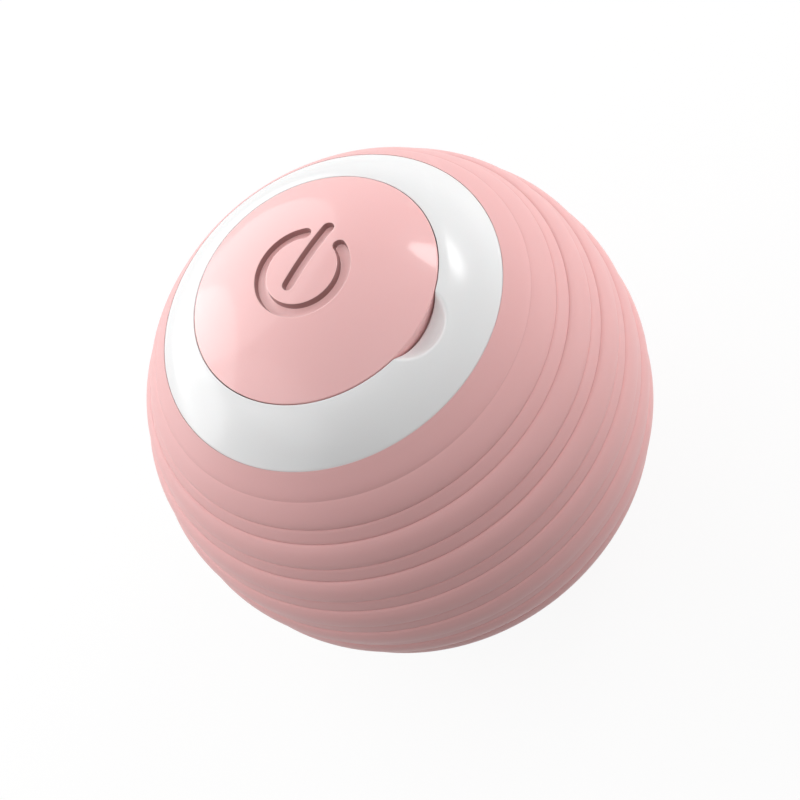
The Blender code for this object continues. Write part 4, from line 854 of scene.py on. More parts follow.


# The hollow colour is painted shade in the creases between the bands, and the crest colour a faint painted
# highlight on their ridges.
SLEEVE_PINK = Finish(
    "sleeve silicone",
    colour=(0.84, 0.475, 0.470),
    other=(0.80, 0.440, 0.435),
    crest=(0.852, 0.490, 0.485),
    hollow=(0.46, 0.215, 0.215),
    gloss=0.44,
    wear_and_light_amount=0.8,
    mark_depth=0.000005,
    coat=0.05,
    coat_gloss=0.28,
    subsurface=0.08,
    specular=0.24,
)
# The crest colour is a painted highlight on the symbol's edges, the hollow colour painted shade in its
# corners, and the wall shade painted shade on its groove walls.
CAP_PINK = Finish(
    "cap silicone",
    colour=(0.90, 0.500, 0.495),
    other=(0.86, 0.475, 0.470),
    crest=(0.91, 0.590, 0.580),
    hollow=(0.66, 0.330, 0.320),
    gloss=0.38,
    wear_and_light_amount=0.25,
    wall_shade=(0.27, 0.135, 0.130),
    wall_shade_amount=0.85,
    mark_depth=0.000003,
    coat=0.55,
    coat_gloss=0.09,
    subsurface=0.10,
    specular=0.45,
)
STRAP_PINK = Finish(
    "strap silicone",
    colour=(0.82, 0.450, 0.445),
    other=(0.78, 0.410, 0.405),
    crest=(0.90, 0.580, 0.570),
    hollow=(0.60, 0.290, 0.290),
    gloss=0.50,
    wear_and_light_amount=0.4,
    mark_depth=0.000005,
    subsurface=0.15,
    specular=0.35,
)
RING_WHITE = Finish(
    "ring plastic",
    colour=(0.84, 0.84, 0.84),
    other=(0.81, 0.81, 0.82),
    crest=(0.90, 0.90, 0.90),
    hollow=(0.62, 0.60, 0.60),
    mark_colour=(0.6, 0.6, 0.6),
    gloss=0.24,
    gloss_spread=0.04,
    wear_and_light_amount=0.10,
    mark_depth=0.000002,
    mark_strength=0.25,
    coat=0.3,
    coat_gloss=0.16,
    subsurface=0.04,
)
DISC_WHITE = Finish(
    "disc plastic",
    colour=(0.82, 0.82, 0.81),
    other=(0.78, 0.78, 0.77),
    crest=(0.90, 0.90, 0.90),
    hollow=(0.58, 0.56, 0.56),
    mark_colour=(0.5, 0.5, 0.5),
    gloss=0.34,
    wear_and_light_amount=0.35,
    mark_depth=0.000003,
    subsurface=0.05,
)
PLATED_STEEL = Finish(
    "plated steel",
    colour=(0.60, 0.60, 0.62),
    other=(0.50, 0.50, 0.52),
    crest=(0.80, 0.80, 0.80),
    hollow=(0.25, 0.25, 0.26),
    marks=Marks.TURNING,
    mark_colour=(0.40, 0.40, 0.41),
    mark_amount=0.3,
    mark_depth=0.000002,
    gloss=0.28,
    gloss_spread=0.15,
    metallic=1.0,
    mottle_scale=500.0,
    wear_and_light_amount=0.5,
)
SOCKET_STEEL = Finish(
    "socket shell",
    colour=(0.66, 0.66, 0.67),
    other=(0.56, 0.56, 0.57),
    crest=(0.85, 0.85, 0.85),
    hollow=(0.25, 0.25, 0.25),
    mark_colour=(0.45, 0.45, 0.46),
    mark_amount=0.15,
    mark_depth=0.000001,
    gloss=0.22,
    gloss_spread=0.10,
    metallic=1.0,
    mottle_scale=700.0,
    wear_and_light_amount=0.5,
)
SOCKET_BLACK = Finish(
    "socket plastic",
    colour=(0.020, 0.020, 0.022),
    other=(0.035, 0.035, 0.035),
    crest=(0.07, 0.07, 0.07),
    hollow=(0.008, 0.008, 0.008),
    mark_amount=0.05,
    gloss=0.38,
    mottle_scale=700.0,
    mark_depth=0.000003,
)
CONTACT_GOLD = Finish(
    "contact plating",
    colour=(0.80, 0.60, 0.25),
    other=(0.70, 0.50, 0.20),
    crest=(0.90, 0.75, 0.40),
    hollow=(0.40, 0.28, 0.10),
    mark_amount=0.05,
    gloss=0.22,
    metallic=1.0,
    mottle_scale=900.0,
    mark_depth=0.000001,
)
INNER_FINISHES: dict[str, Finish] = {
    "shell_plastic": Finish(
        "shell plastic",
        colour=(0.72, 0.72, 0.70), other=(0.68, 0.68, 0.65),
        crest=(0.82, 0.82, 0.80), hollow=(0.5, 0.5, 0.48),
        gloss=0.48, mark_scale=3500.0, mark_depth=0.00001,
    ),
    "grey_plastic": Finish(
        "chassis plastic",
        colour=(0.35, 0.36, 0.38), other=(0.31, 0.32, 0.34),
        crest=(0.50, 0.51, 0.53), hollow=(0.2, 0.2, 0.22),
        gloss=0.52, mark_scale=3500.0, mark_depth=0.00001,
    ),
    "black_plastic": Finish(
        "black plastic",
        colour=(0.025, 0.025, 0.026), other=(0.04, 0.04, 0.042),
        crest=(0.10, 0.10, 0.10), hollow=(0.01, 0.01, 0.01),
        gloss=0.42, mark_scale=5000.0, mark_amount=0.06, mark_depth=0.000006,
    ),
    "nylon": Finish(
        "gear nylon",
        colour=(0.80, 0.80, 0.74), other=(0.76, 0.75, 0.68),
        crest=(0.88, 0.88, 0.84), hollow=(0.55, 0.54, 0.48),
        mark_colour=(0.55, 0.50, 0.40), mark_amount=0.12, gloss=0.40, mark_depth=0.000006, subsurface=0.15,
    ),
    "steel": PLATED_STEEL,
    "black_steel": Finish(
        "blackened steel",
        colour=(0.06, 0.06, 0.062), other=(0.09, 0.08, 0.075),
        crest=(0.32, 0.31, 0.30), hollow=(0.02, 0.02, 0.02),
        marks=Marks.TURNING, mark_colour=(0.15, 0.14, 0.13), mark_amount=0.4, gloss=0.38, gloss_spread=0.12,
        metallic=1.0, mottle_scale=600.0, wear_and_light_amount=0.6,
    ),
    "brass": Finish(
        "turned brass",
        colour=(0.75, 0.58, 0.28), other=(0.64, 0.46, 0.20),
        crest=(0.90, 0.76, 0.45), hollow=(0.35, 0.24, 0.10),
        marks=Marks.TURNING, mark_colour=(0.50, 0.36, 0.16), mark_amount=0.3, gloss=0.26, gloss_spread=0.12,
        metallic=1.0, mottle_scale=400.0, wear_and_light_amount=0.5,
    ),
    "zinc": Finish(
        "cast zinc",
        colour=(0.42, 0.43, 0.45), other=(0.34, 0.35, 0.37),
        crest=(0.62, 0.63, 0.65), hollow=(0.2, 0.2, 0.21),
        mark_colour=(0.25, 0.25, 0.27), mark_amount=0.3, mark_scale=2200.0, mark_depth=0.00003,
        mark_strength=0.6, gloss=0.50, gloss_spread=0.15, metallic=1.0, mottle_amount=0.6, mottle_scale=300.0,
    ),
    "board": Finish(
        "solder mask",
        colour=(0.02, 0.16, 0.07), other=(0.02, 0.12, 0.05),
        crest=(0.20, 0.30, 0.16), hollow=(0.01, 0.07, 0.03),
        marks=Marks.TRACKS, mark_colour=(0.09, 0.30, 0.13), mark_amount=0.8, mark_scale=420.0,
        mark_depth=0.00002, mark_strength=0.6, gloss=0.30, coat=0.3,
    ),
    "battery_wrap": Finish(
        "shrink wrap",
        colour=(0.12, 0.20, 0.42), other=(0.10, 0.17, 0.37),
        crest=(0.25, 0.34, 0.58), hollow=(0.05, 0.09, 0.2),
        gloss=0.22, mark_scale=900.0, mark_depth=0.00002, mark_amount=0.05, coat=0.4,
    ),
    "foam": Finish(
        "pad foam",
        colour=(0.05, 0.05, 0.05), other=(0.08, 0.08, 0.08),
        crest=(0.12, 0.12, 0.12), hollow=(0.02, 0.02, 0.02),
        marks=Marks.CELLS, mark_colour=(0.01, 0.01, 0.01), mark_amount=0.8, mark_scale=3000.0,
        mark_depth=0.00008, mark_strength=1.0, gloss=0.9, sheen=0.2,
    ),
    "led_lens": Finish(
        "tinted lens",
        colour=(0.85, 0.20, 0.16), other=(0.78, 0.15, 0.12),
        crest=(0.95, 0.40, 0.34), hollow=(0.5, 0.1, 0.08),
        gloss=0.12, gloss_spread=0.03, mark_depth=0.000001, coat=0.6, subsurface=0.3,
    ),
    "lead_red": Finish(
        "red insulation",
        colour=(0.60, 0.03, 0.03), other=(0.50, 0.02, 0.02),
        crest=(0.75, 0.10, 0.10), hollow=(0.3, 0.01, 0.01),
        gloss=0.36, mark_depth=0.000006,
    ),
    "lead_black": Finish(
        "black insulation",
        colour=(0.02, 0.02, 0.02), other=(0.035, 0.035, 0.035),
        crest=(0.08, 0.08, 0.08), hollow=(0.01, 0.01, 0.01),
        gloss=0.36, mark_amount=0.05, mark_depth=0.000006,
    ),
}


def settle(
    item: bpy.types.Object, body: Body, finish: Finish, stands_for: Sequence[str] = ()
) -> bpy.types.Object:
    """Gives a piece its finish, its body and the nodes that it stands for.

    Args:
        item: The piece.
        body: The body that it rides on.
        finish: Its finish.
        stands_for: The nodes that it replaces.

    Returns:
        The piece.
    """
    item.data.materials.clear()
    item.data.materials.append(finish.make())
    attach(item, body.value)
    if stands_for:
        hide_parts(*stands_for)
    LOG.info("%s rides on %s, %d faces", item.name, body.value, len(item.data.polygons))
    return item


# The ball


@dataclass(frozen=True)
class Ball:
    """The sphere that the sleeve, the ring and the cap share, standing on its small flat."""

    radius: float = 0.0215
    base_radius: float = 0.0046

    @property
    def centre_z(self) -> float:
        """Height of the ball's centre."""
        return math.sqrt(self.radius**2 - self.base_radius**2)

    def point(self, radius: float, angle: float) -> Point:
        """(distance from the axis, height) at an angle from the upper pole."""
        return radius * math.sin(angle), self.centre_z + radius * math.cos(angle)

    def top(self, distance: float, radius: float | None = None) -> float:
        """Height of a sphere about the ball's centre, at a distance from the axis."""
        return self.centre_z + math.sqrt((radius or self.radius) ** 2 - distance**2)


@dataclass
class Sleeve:
    """The stretched silicone sleeve: a smooth band at its mouth, then rounded bands with flats between them.

    From rib_start to rib_end each pitch has a wide rounded band and then a narrow flat one, with a crease
    where they meet. start_power and end_power say how late the wide band falls to the crease at each side,
    and lead_share how much of a pitch the smooth band takes to fall to the first. start_creases and
    end_creases are the depths of the first creases, which are shallow. A fine groove runs in each crease.
    wide_shares and narrow_shares place the outline's points, which stand closer together at the creases.
    """

    ball: Ball
    wall: float = 0.0015
    mouth: float = 0.013965
    lip: float = 0.00005
    lip_share: float = 0.95
    lip_steps: int = 5
    rib_count: int = 12
    rib_start: float = math.radians(46.9)
    rib_end: float = math.radians(167.0)
    lead_share: float = 0.25
    wide_share: float = 0.65
    relief: float = 0.00033
    start_creases: tuple[float, ...] = (0.25, 0.85)
    end_creases: tuple[float, ...] = (0.75, 0.95)
    start_power: float = 2.3
    end_power: float = 3.0
    flat_bulge: float = 0.10
    crease_round: float = math.radians(0.08)
    crease_offsets: tuple[float, ...] = (-1.0, -0.5, 0.0, 0.5, 1.0)
    crease_weights: tuple[int, ...] = (1, 3, 4, 3, 1)
    groove: float = 0.00010
    groove_reach: float = math.radians(0.42)
    foot_round: float = 0.00028
    steps: int = 256
    inner_steps: int = 40
    mouth_steps: int = 24
    sharp_turn: float = 60.0
    wide_shares: tuple[float, ...] = (
        0.0, 0.01, 0.022, 0.045, 0.08, 0.12, 0.17, 0.24, 0.33, 0.44,
        0.56, 0.66, 0.74, 0.8, 0.85, 0.9, 0.94, 0.97, 0.988,
    )
    narrow_shares: tuple[float, ...] = (0.0, 0.02, 0.05, 0.12, 0.26, 0.42, 0.58, 0.74, 0.88, 0.95, 0.98)
    finish: Finish = SLEEVE_PINK

    @property
    def pitch(self) -> float:
        """The angle from one wide band to the next."""
        return (self.rib_end - self.rib_start) / self.rib_count

    def crease(self, band: int, marks: tuple[float, ...]) -> float:
        """How deep a crease is. The first ones are shallow, and the base has none.

        Args:
            band: Its number from the mouth.
            marks: The depths of the first ones.

        Returns:
            Its depth as a share of the relief.
        """
        if band >= self.rib_count:
            return 0.0
        return marks[band] if band < len(marks) else 1.0

    def cut(self, angle: float) -> float:
        """How deep the fine groove in the nearest crease is.

        Args:
            angle: The angle from the upper pole.

        Returns:
            Its depth.
        """
        place = (angle - self.rib_start) / self.pitch
        deepest = 0.0
        for offset, marks in ((0.0, self.start_creases), (self.wide_share, self.end_creases)):
            band = round(place - offset)
            centre = band + offset
            if 0 <= centre < self.rib_count:
                near = max(0.0, 1 - abs(place - centre) * self.pitch / self.groove_reach)
                deepest = max(deepest, self.groove * self.crease(band, marks) * near**2)
        return deepest

    def hollow(self, angle: float) -> float:
        """How far the sleeve lies under the sphere.

        Args:
            angle: The angle from the upper pole.

        Returns:
            The depth.
        """
        place = (angle - self.rib_start) / self.pitch
        if place < 0:
            lead = max(0.0, 1 + place / self.lead_share) ** self.end_power
            return self.relief * self.crease(0, self.start_creases) * lead
        band = min(int(place), self.rib_count - 1)
        share = place - band
        before, after = self.crease(band, self.start_creases), self.crease(band, self.end_creases)
        if share < self.wide_share:
            side = 2 * share / self.wide_share - 1
            power = self.start_power if side < 0 else self.end_power
            return self.relief * (before if side < 0 else after) * abs(side) ** power
        share = (share - self.wide_share) / (1 - self.wide_share)
        level = after + (self.crease(band + 1, self.start_creases) - after) * share
        return self.relief * (level - 4 * share * (1 - share) * self.flat_bulge)

    def rounded_hollow(self, angle: float) -> float:
        """The same depth with its creases rounded, as an average over a small arc.

        Args:
            angle: The angle from the upper pole.

        Returns:
            The depth.
        """
        weights = self.crease_weights
        angles = [angle + offset * self.crease_round for offset in self.crease_offsets]
        total = sum(weight * (self.hollow(near) + self.cut(near)) for near, weight in zip(angles, weights))
        return total / sum(weights)

    def surface(self, angles: Sequence[float]) -> Profile:
        """The outer outline's points at these angles from the upper pole."""
        return [self.ball.point(self.ball.radius - self.rounded_hollow(angle), angle) for angle in angles]

    def profile(self) -> Profile:
        """The closed outline, from the inner pole round the mouth to the base.

        Returns:
            The outline as (radius, height).
        """
        ball, inner = self.ball, self.ball.radius - self.wall
        inner_angles = even(math.pi, math.asin(self.mouth / inner), self.inner_steps)
        outline = [ball.point(inner, angle) for angle in inner_angles]
        outline[0] = (0.0, outline[0][1])
        lip_top = (self.mouth, ball.top(self.mouth))
        lip_end = ball.point(ball.radius, math.asin(self.mouth / ball.radius) + self.lip / ball.radius)
        lip_foot = (self.mouth, lip_top[1] - self.lip)
        outline += fillet([lip_foot, lip_top, lip_end], 1, self.lip * self.lip_share, self.lip_steps)
        band_start = math.asin(lip_end[0] / ball.radius)
        outline += self.surface(even(band_start, self.rib_start, self.mouth_steps)[1:-1])
        # Each pitch: the rounded band, then the flat one.
        wide, narrow = self.pitch * self.wide_share, self.pitch * (1 - self.wide_share)
        for rib in range(self.rib_count):
            start = self.rib_start + rib * self.pitch
            outline += self.surface([start + wide * share for share in self.wide_shares])
            outline += self.surface([start + wide + narrow * share for share in self.narrow_shares])
        outline.append(ball.point(ball.radius, self.rib_end))
        foot = [outline[-1], (ball.base_radius, 0.0), (0.0, 0.0)]
        return outline[:-1] + fillet(foot, 1, self.foot_round)

    def build(self) -> None:
        """Turns the sleeve and dresses it."""
        item = object_of("sleeve_ribbed", turned(self.profile(), self.steps), crease=self.sharp_turn)
        settle(item, Body.CASE, self.finish, ["sleeve"])


@dataclass
class Bezel:
    """The white ring with its well, its floor and the finger notch, the strap's ears and the screw bosses.

    crown_shares are marks of the ring's height over the sphere: a share of its width, and a share of crown.
    edge_shares place the points on its rounded edges. notch_size is the notch's half width, half reach and
    depth, and notch_lip and notch_power shape its rim and its bowl. ear_places are the distances of an ear's
    two faces from the middle plane.
    """

    ball: Ball
    ring_radius: float = 0.01395
    mouth: float = 0.00993
    well_depth: float = 0.00342
    draft: float = math.radians(10)
    wall_steps: int = 10
    crown: float = 0.00022
    crown_shares: tuple[Point, ...] = (
        (0.0, 0.0), (0.20, 0.72), (0.45, 1.0), (0.68, 0.78), (0.87, 0.25), (1.0, -0.2),
    )
    crown_steps: int = 50
    edge_round: float = 0.00008
    edge_fall: float = 0.4
    edge_shares: Point = (0.25, 0.55)
    floor_wall: float = 0.0015
    well_wall: float = 0.0012
    hollow_depth: float = 0.0028
    disc_hole: float = 0.0069
    shell_radius: float = 0.0197
    seat_gap: float = 0.0003
    spigot: float = 0.01308
    spigot_wall: float = 0.0011
    spigot_z: float = 0.0332
    notch_inset: float = 0.00925
    notch_size: tuple[float, float, float] = (0.00285, 0.00245, 0.00098)
    notch_lip: float = 0.16
    notch_power: float = 0.72
    notch_span: float = math.radians(24)
    notch_steps: int = 112
    far_steps: int = 188
    screw_circle: float = 0.0083
    screw_angles: tuple[int, ...] = (90, 210, 330)
    screw_seat: float = 0.0010
    screw_hole: float = 0.00117
    shank_hole: float = 0.00062
    boss_radius: float = 0.0013
    boss_foot: float = 0.03005
    bore_steps: int = 48
    ear_places: Point = (0.0016, 0.0025)
    ear_reach: float = 0.0008
    ear_rise: float = 0.0006
    ear_drop: float = 0.0009
    ear_round: float = 0.00045
    ear_steps: int = 6
    pin_hole: float = 0.00052
    anchor_y: float = 0.0089026
    pivot_drop: float = 0.00107
    finish: Finish = RING_WHITE

    @property
    def edge_z(self) -> float:
        """Height of the ring at the well's mouth."""
        return self.ball.top(self.mouth)

    @property
    def floor_z(self) -> float:
        """Height of the well's floor."""
        return self.edge_z - self.well_depth

    @property
    def pivot_z(self) -> float:
        """Height of the strap's pins."""
        return self.edge_z - self.pivot_drop

    def crown_lift(self, share: float) -> float:
        """How far the ring stands above the sphere, on a smooth curve through the crown's marks.

        Args:
            share: The place as a share of the ring's width, from the well outwards.

        Returns:
            The height above the sphere.
        """
        # A cubic between two marks, with slopes taken from the marks beyond them.
        marks = self.crown_shares
        last = len(marks) - 1
        index = max(place for place in range(last) if marks[place][0] <= share)
        (x0, y0), (x1, y1) = marks[index], marks[index + 1]
        before, after = marks[max(index - 1, 0)], marks[min(index + 2, last)]
        span = x1 - x0
        slope0 = (y1 - before[1]) / (x1 - before[0])
        slope1 = (after[1] - y0) / (after[0] - x0)
        t = (share - x0) / span
        value = (
            (2 * t**3 - 3 * t**2 + 1) * y0
            + (t**3 - 2 * t**2 + t) * span * slope0
            + (3 * t**2 - 2 * t**3) * y1
            + (t**3 - t**2) * span * slope1
        )
        return self.crown * value

    def scoop(self, x: float, y: float) -> float:
        """How deep the finger notch is, pressed in square to the ball's surface.

        Args:
            x: The place in plan along X.
            y: The place in plan along Y.

        Returns:
            Its depth along Z.
        """
        tilt = math.asin(self.notch_inset / self.ball.radius)
        fall = self.ball.top(self.notch_inset) - self.ball.top(math.hypot(x, y))
        along = (-y - self.notch_inset) * math.cos(tilt) + fall * math.sin(tilt)
        across, reach, depth = self.notch_size
        inside = soft_floor(1 - (x / across) ** 2 - (along / reach) ** 2, self.notch_lip)
        return depth * inside**self.notch_power / math.cos(tilt)

    def ring_height(self, distance: float, angle: float) -> float:
        """Height of the ring, with its crown, its rounded edges and its notch.

        Args:
            distance: The distance from the axis.
            angle: The bearing.

        Returns:
            The height.
        """
        share = (distance - self.mouth) / (self.ring_radius - self.mouth)
        height = self.ball.top(distance) + self.crown_lift(min(max(share, 0.0), 1.0))
        inner = min((distance - self.mouth) / self.edge_round, 1.0)
        outer = min((self.ring_radius - distance) / self.edge_round, 1.0)
        rounding = self.edge_fall * self.edge_round * ((1 - inner) ** 2 + (1 - outer) ** 2)
        return height - rounding - self.scoop(*polar(distance, angle))

    def azimuths(self) -> list[float]:
        """Bearings round the ring, close together at the notch.

        Returns:
            The bearings.
        """
        # The notch lies at -Y, a quarter turn back from +X.
        near = even(-self.notch_span, self.notch_span, self.notch_steps)[:-1]
        far = even(self.notch_span, TAU - self.notch_span, self.far_steps)[:-1]
        return [-math.pi / 2 + angle for angle in near + far]

    def outline_at(self, angle: float) -> Profile:
        """The closed outline at one bearing. Every bearing has the same number of points.

        Args:
            angle: The bearing.

        Returns:
            The outline as (radius, height).
        """
        well_foot = self.mouth - self.well_depth * math.tan(self.draft)
        floor_z, edge, width = self.floor_z, self.edge_round, self.ring_radius - self.mouth
        inset = edge / width
        rim = [0.0] + [inset * share for share in self.edge_shares]
        shares = rim + even(inset, 1 - inset, self.crown_steps) + [1 - share for share in reversed(rim)]
        distances = [self.mouth + width * share for share in shares]
        crown = [(distance, self.ring_height(distance, angle)) for distance in distances]
        lip_z = crown[0][1]
        wall = []
        for share in even(0, 1, self.wall_steps)[1:-1]:
            height = floor_z + edge + (lip_z - floor_z - edge) * share
            wall.append((well_foot + (self.mouth - well_foot) * (height - floor_z) / self.well_depth, height))
        seat_z = self.ball.top(self.ring_radius, self.shell_radius) + self.seat_gap
        spigot_top = self.ball.top(self.spigot, self.shell_radius) + self.seat_gap
        hollow_z = self.edge_z - self.hollow_depth
        under = floor_z - self.floor_wall
        # Out over the floor, up the wall, over the crown and down the rim, then back under the floor.
        return [
            (self.disc_hole, floor_z - edge / 2), (self.disc_hole + edge / 2, floor_z),
            ((self.disc_hole + well_foot) / 2, floor_z), (well_foot - edge, floor_z),
            (well_foot - edge / 3, floor_z + edge / 4), (well_foot + edge / 6, floor_z + edge),
            *wall, *crown, (self.ring_radius, seat_z), (self.spigot, spigot_top),
            (self.spigot, self.spigot_z), (self.spigot - self.spigot_wall, self.spigot_z),
            (self.spigot - self.spigot_wall, hollow_z), (self.mouth + self.well_wall / 2, hollow_z),
            (well_foot + self.well_wall, under), (self.disc_hole, under),
        ]

    def screw_places(self) -> list[Point]:
        """Where the screws stand in plan."""
        return [polar(self.screw_circle, math.radians(turn)) for turn in self.screw_angles]

    def ears(self) -> list[bmesh.types.BMesh]:
        """The two ears that hold the strap's pin, with rounded noses.

        Returns:
            Their meshes.
        """
        pivot = (self.anchor_y, self.pivot_z)
        wall_y = self.mouth + self.well_wall / 4
        outline = [
            (wall_y, pivot[1] + self.ear_rise), (pivot[0] - self.ear_reach, pivot[1] + self.ear_rise),
            (pivot[0] - self.ear_reach, pivot[1] - self.ear_drop), (wall_y, pivot[1] - self.ear_drop),
        ]
        outline = fillets(outline, {1: self.ear_round, 2: self.ear_round}, self.ear_steps)
        return [eye_plate(outline, pivot, self.pin_hole, self.ear_places, side) for side in (-1, 1)]

    def build(self) -> None:
        """Builds the ring with its bosses, its ears and its counterbores, and dresses it."""
        angles = self.azimuths()
        columns = [self.outline_at(angle) for angle in angles]
        loops = [
            [(*polar(column[row][0], angle), column[row][1]) for column, angle in zip(columns, angles)]
            for row in range(len(columns[0]))
        ]
        item = object_of("bezel_ring", mesh_of_loops(loops, closed=True))
        high, edge, steps = self.floor_z + self.seat_gap, self.edge_round, self.bore_steps
        boss_top = self.floor_z - self.floor_wall / 2
        for place in self.screw_places():
            combine(item, rod(self.boss_radius, self.boss_foot, boss_top, steps, edge, place), Join.ADD)
        for ear in self.ears():
            combine(item, ear, Join.ADD)
        seat, low = self.floor_z - self.screw_seat, self.boss_foot - self.seat_gap
        bore = [
            (0.0, high), (self.screw_hole + edge + self.seat_gap, high),
            (self.screw_hole, self.floor_z - edge), (self.screw_hole, seat),
            (self.shank_hole, seat), (self.shank_hole, low), (0.0, low),
        ]
        for place in self.screw_places():
            combine(item, placed(turned(bore, steps), Matrix.Translation((*place, 0.0))), Join.CUT)
        settle(item, Body.CASE, self.finish, ["bezel"])


@dataclass
class PowerSymbol:
    """The power symbol pressed into the cap: a broken ring, and a bar that points to +X.

    The dome is meshed along its outlines grown by edge_offsets, so that the walls of the pressing are crisp.
    """

    ring_radius: float = 0.00335
    half_width: float = 0.00044
    gap_half: float = math.radians(29)
    bar_in: float = -0.00142
    bar_out: float = 0.00400
    bar_shift: float = 0.0002
    depth: float = 0.00050
    wall: float = 0.00013
    edge_offsets: tuple[float, ...] = (
        0.00014, 0.00008, 0.00005, 0.000025, 0.0, -0.000025, -0.00005, -0.00008,
    )
    outer_steps: int = 96
    inner_steps: int = 80
    end_steps: int = 14
    side_steps: int = 34

    def distance(self, x: float, y: float) -> float:
        """Distance to the grooves' outline.

        Args:
            x: The place in plan along X.
            y: The place in plan along Y.

        Returns:
            The distance, negative inside a groove.
        """
        bearing = math.atan2(y, x)
        if abs(bearing) >= self.gap_half:
            ring = abs(math.hypot(x, y) - self.ring_radius)
        else:
            end = polar(self.ring_radius, math.copysign(self.gap_half, bearing))
            ring = math.dist((x, y), end)
        along = min(max(x, self.bar_in), self.bar_out)
        bar = math.dist((x, y), (along, self.bar_shift))
        return min(ring, bar) - self.half_width

    def depth_at(self, x: float, y: float) -> float:
        """Depth of the pressing, with a steep wall rounded at its top and foot."""
        return self.depth * smooth((self.wall / 2 - self.distance(x, y)) / self.wall)

    def ring_outline(self, offset: float) -> Profile:
        """The broken ring's outline, with its round ends.

        Args:
            offset: How far it is grown.

        Returns:
            The closed outline.
        """
        half = self.half_width + offset
        start, end = self.gap_half, TAU - self.gap_half
        outer = [polar(self.ring_radius + half, angle) for angle in even(start, end, self.outer_steps)]
        inner = [polar(self.ring_radius - half, angle) for angle in even(end, start, self.inner_steps)]
        ends = []
        for angle, turn in ((end, end), (start, start + math.pi)):
            middle, count = polar(self.ring_radius, angle), self.end_steps
            ends.append([polar(half, turn + math.pi * step / count, middle) for step in range(1, count)])
        return outer + ends[0] + inner + ends[1]

    def bar_outline(self, offset: float) -> Profile:
        """The bar's outline, with its round ends.

        Args:
            offset: How far it is grown.

        Returns:
            The closed outline.
        """
        half = self.half_width + offset
        points: Profile = []
        for start, end, side in ((self.bar_out, self.bar_in, 1), (self.bar_in, self.bar_out, -1)):
            turns = even(-side * math.pi / 2, math.pi * (1 - side / 2), self.end_steps)
            points += [polar(half, turn, (start, self.bar_shift)) for turn in turns]
            points += [(x, self.bar_shift + side * half) for x in even(start, end, self.side_steps)[1:-1]]
        return points


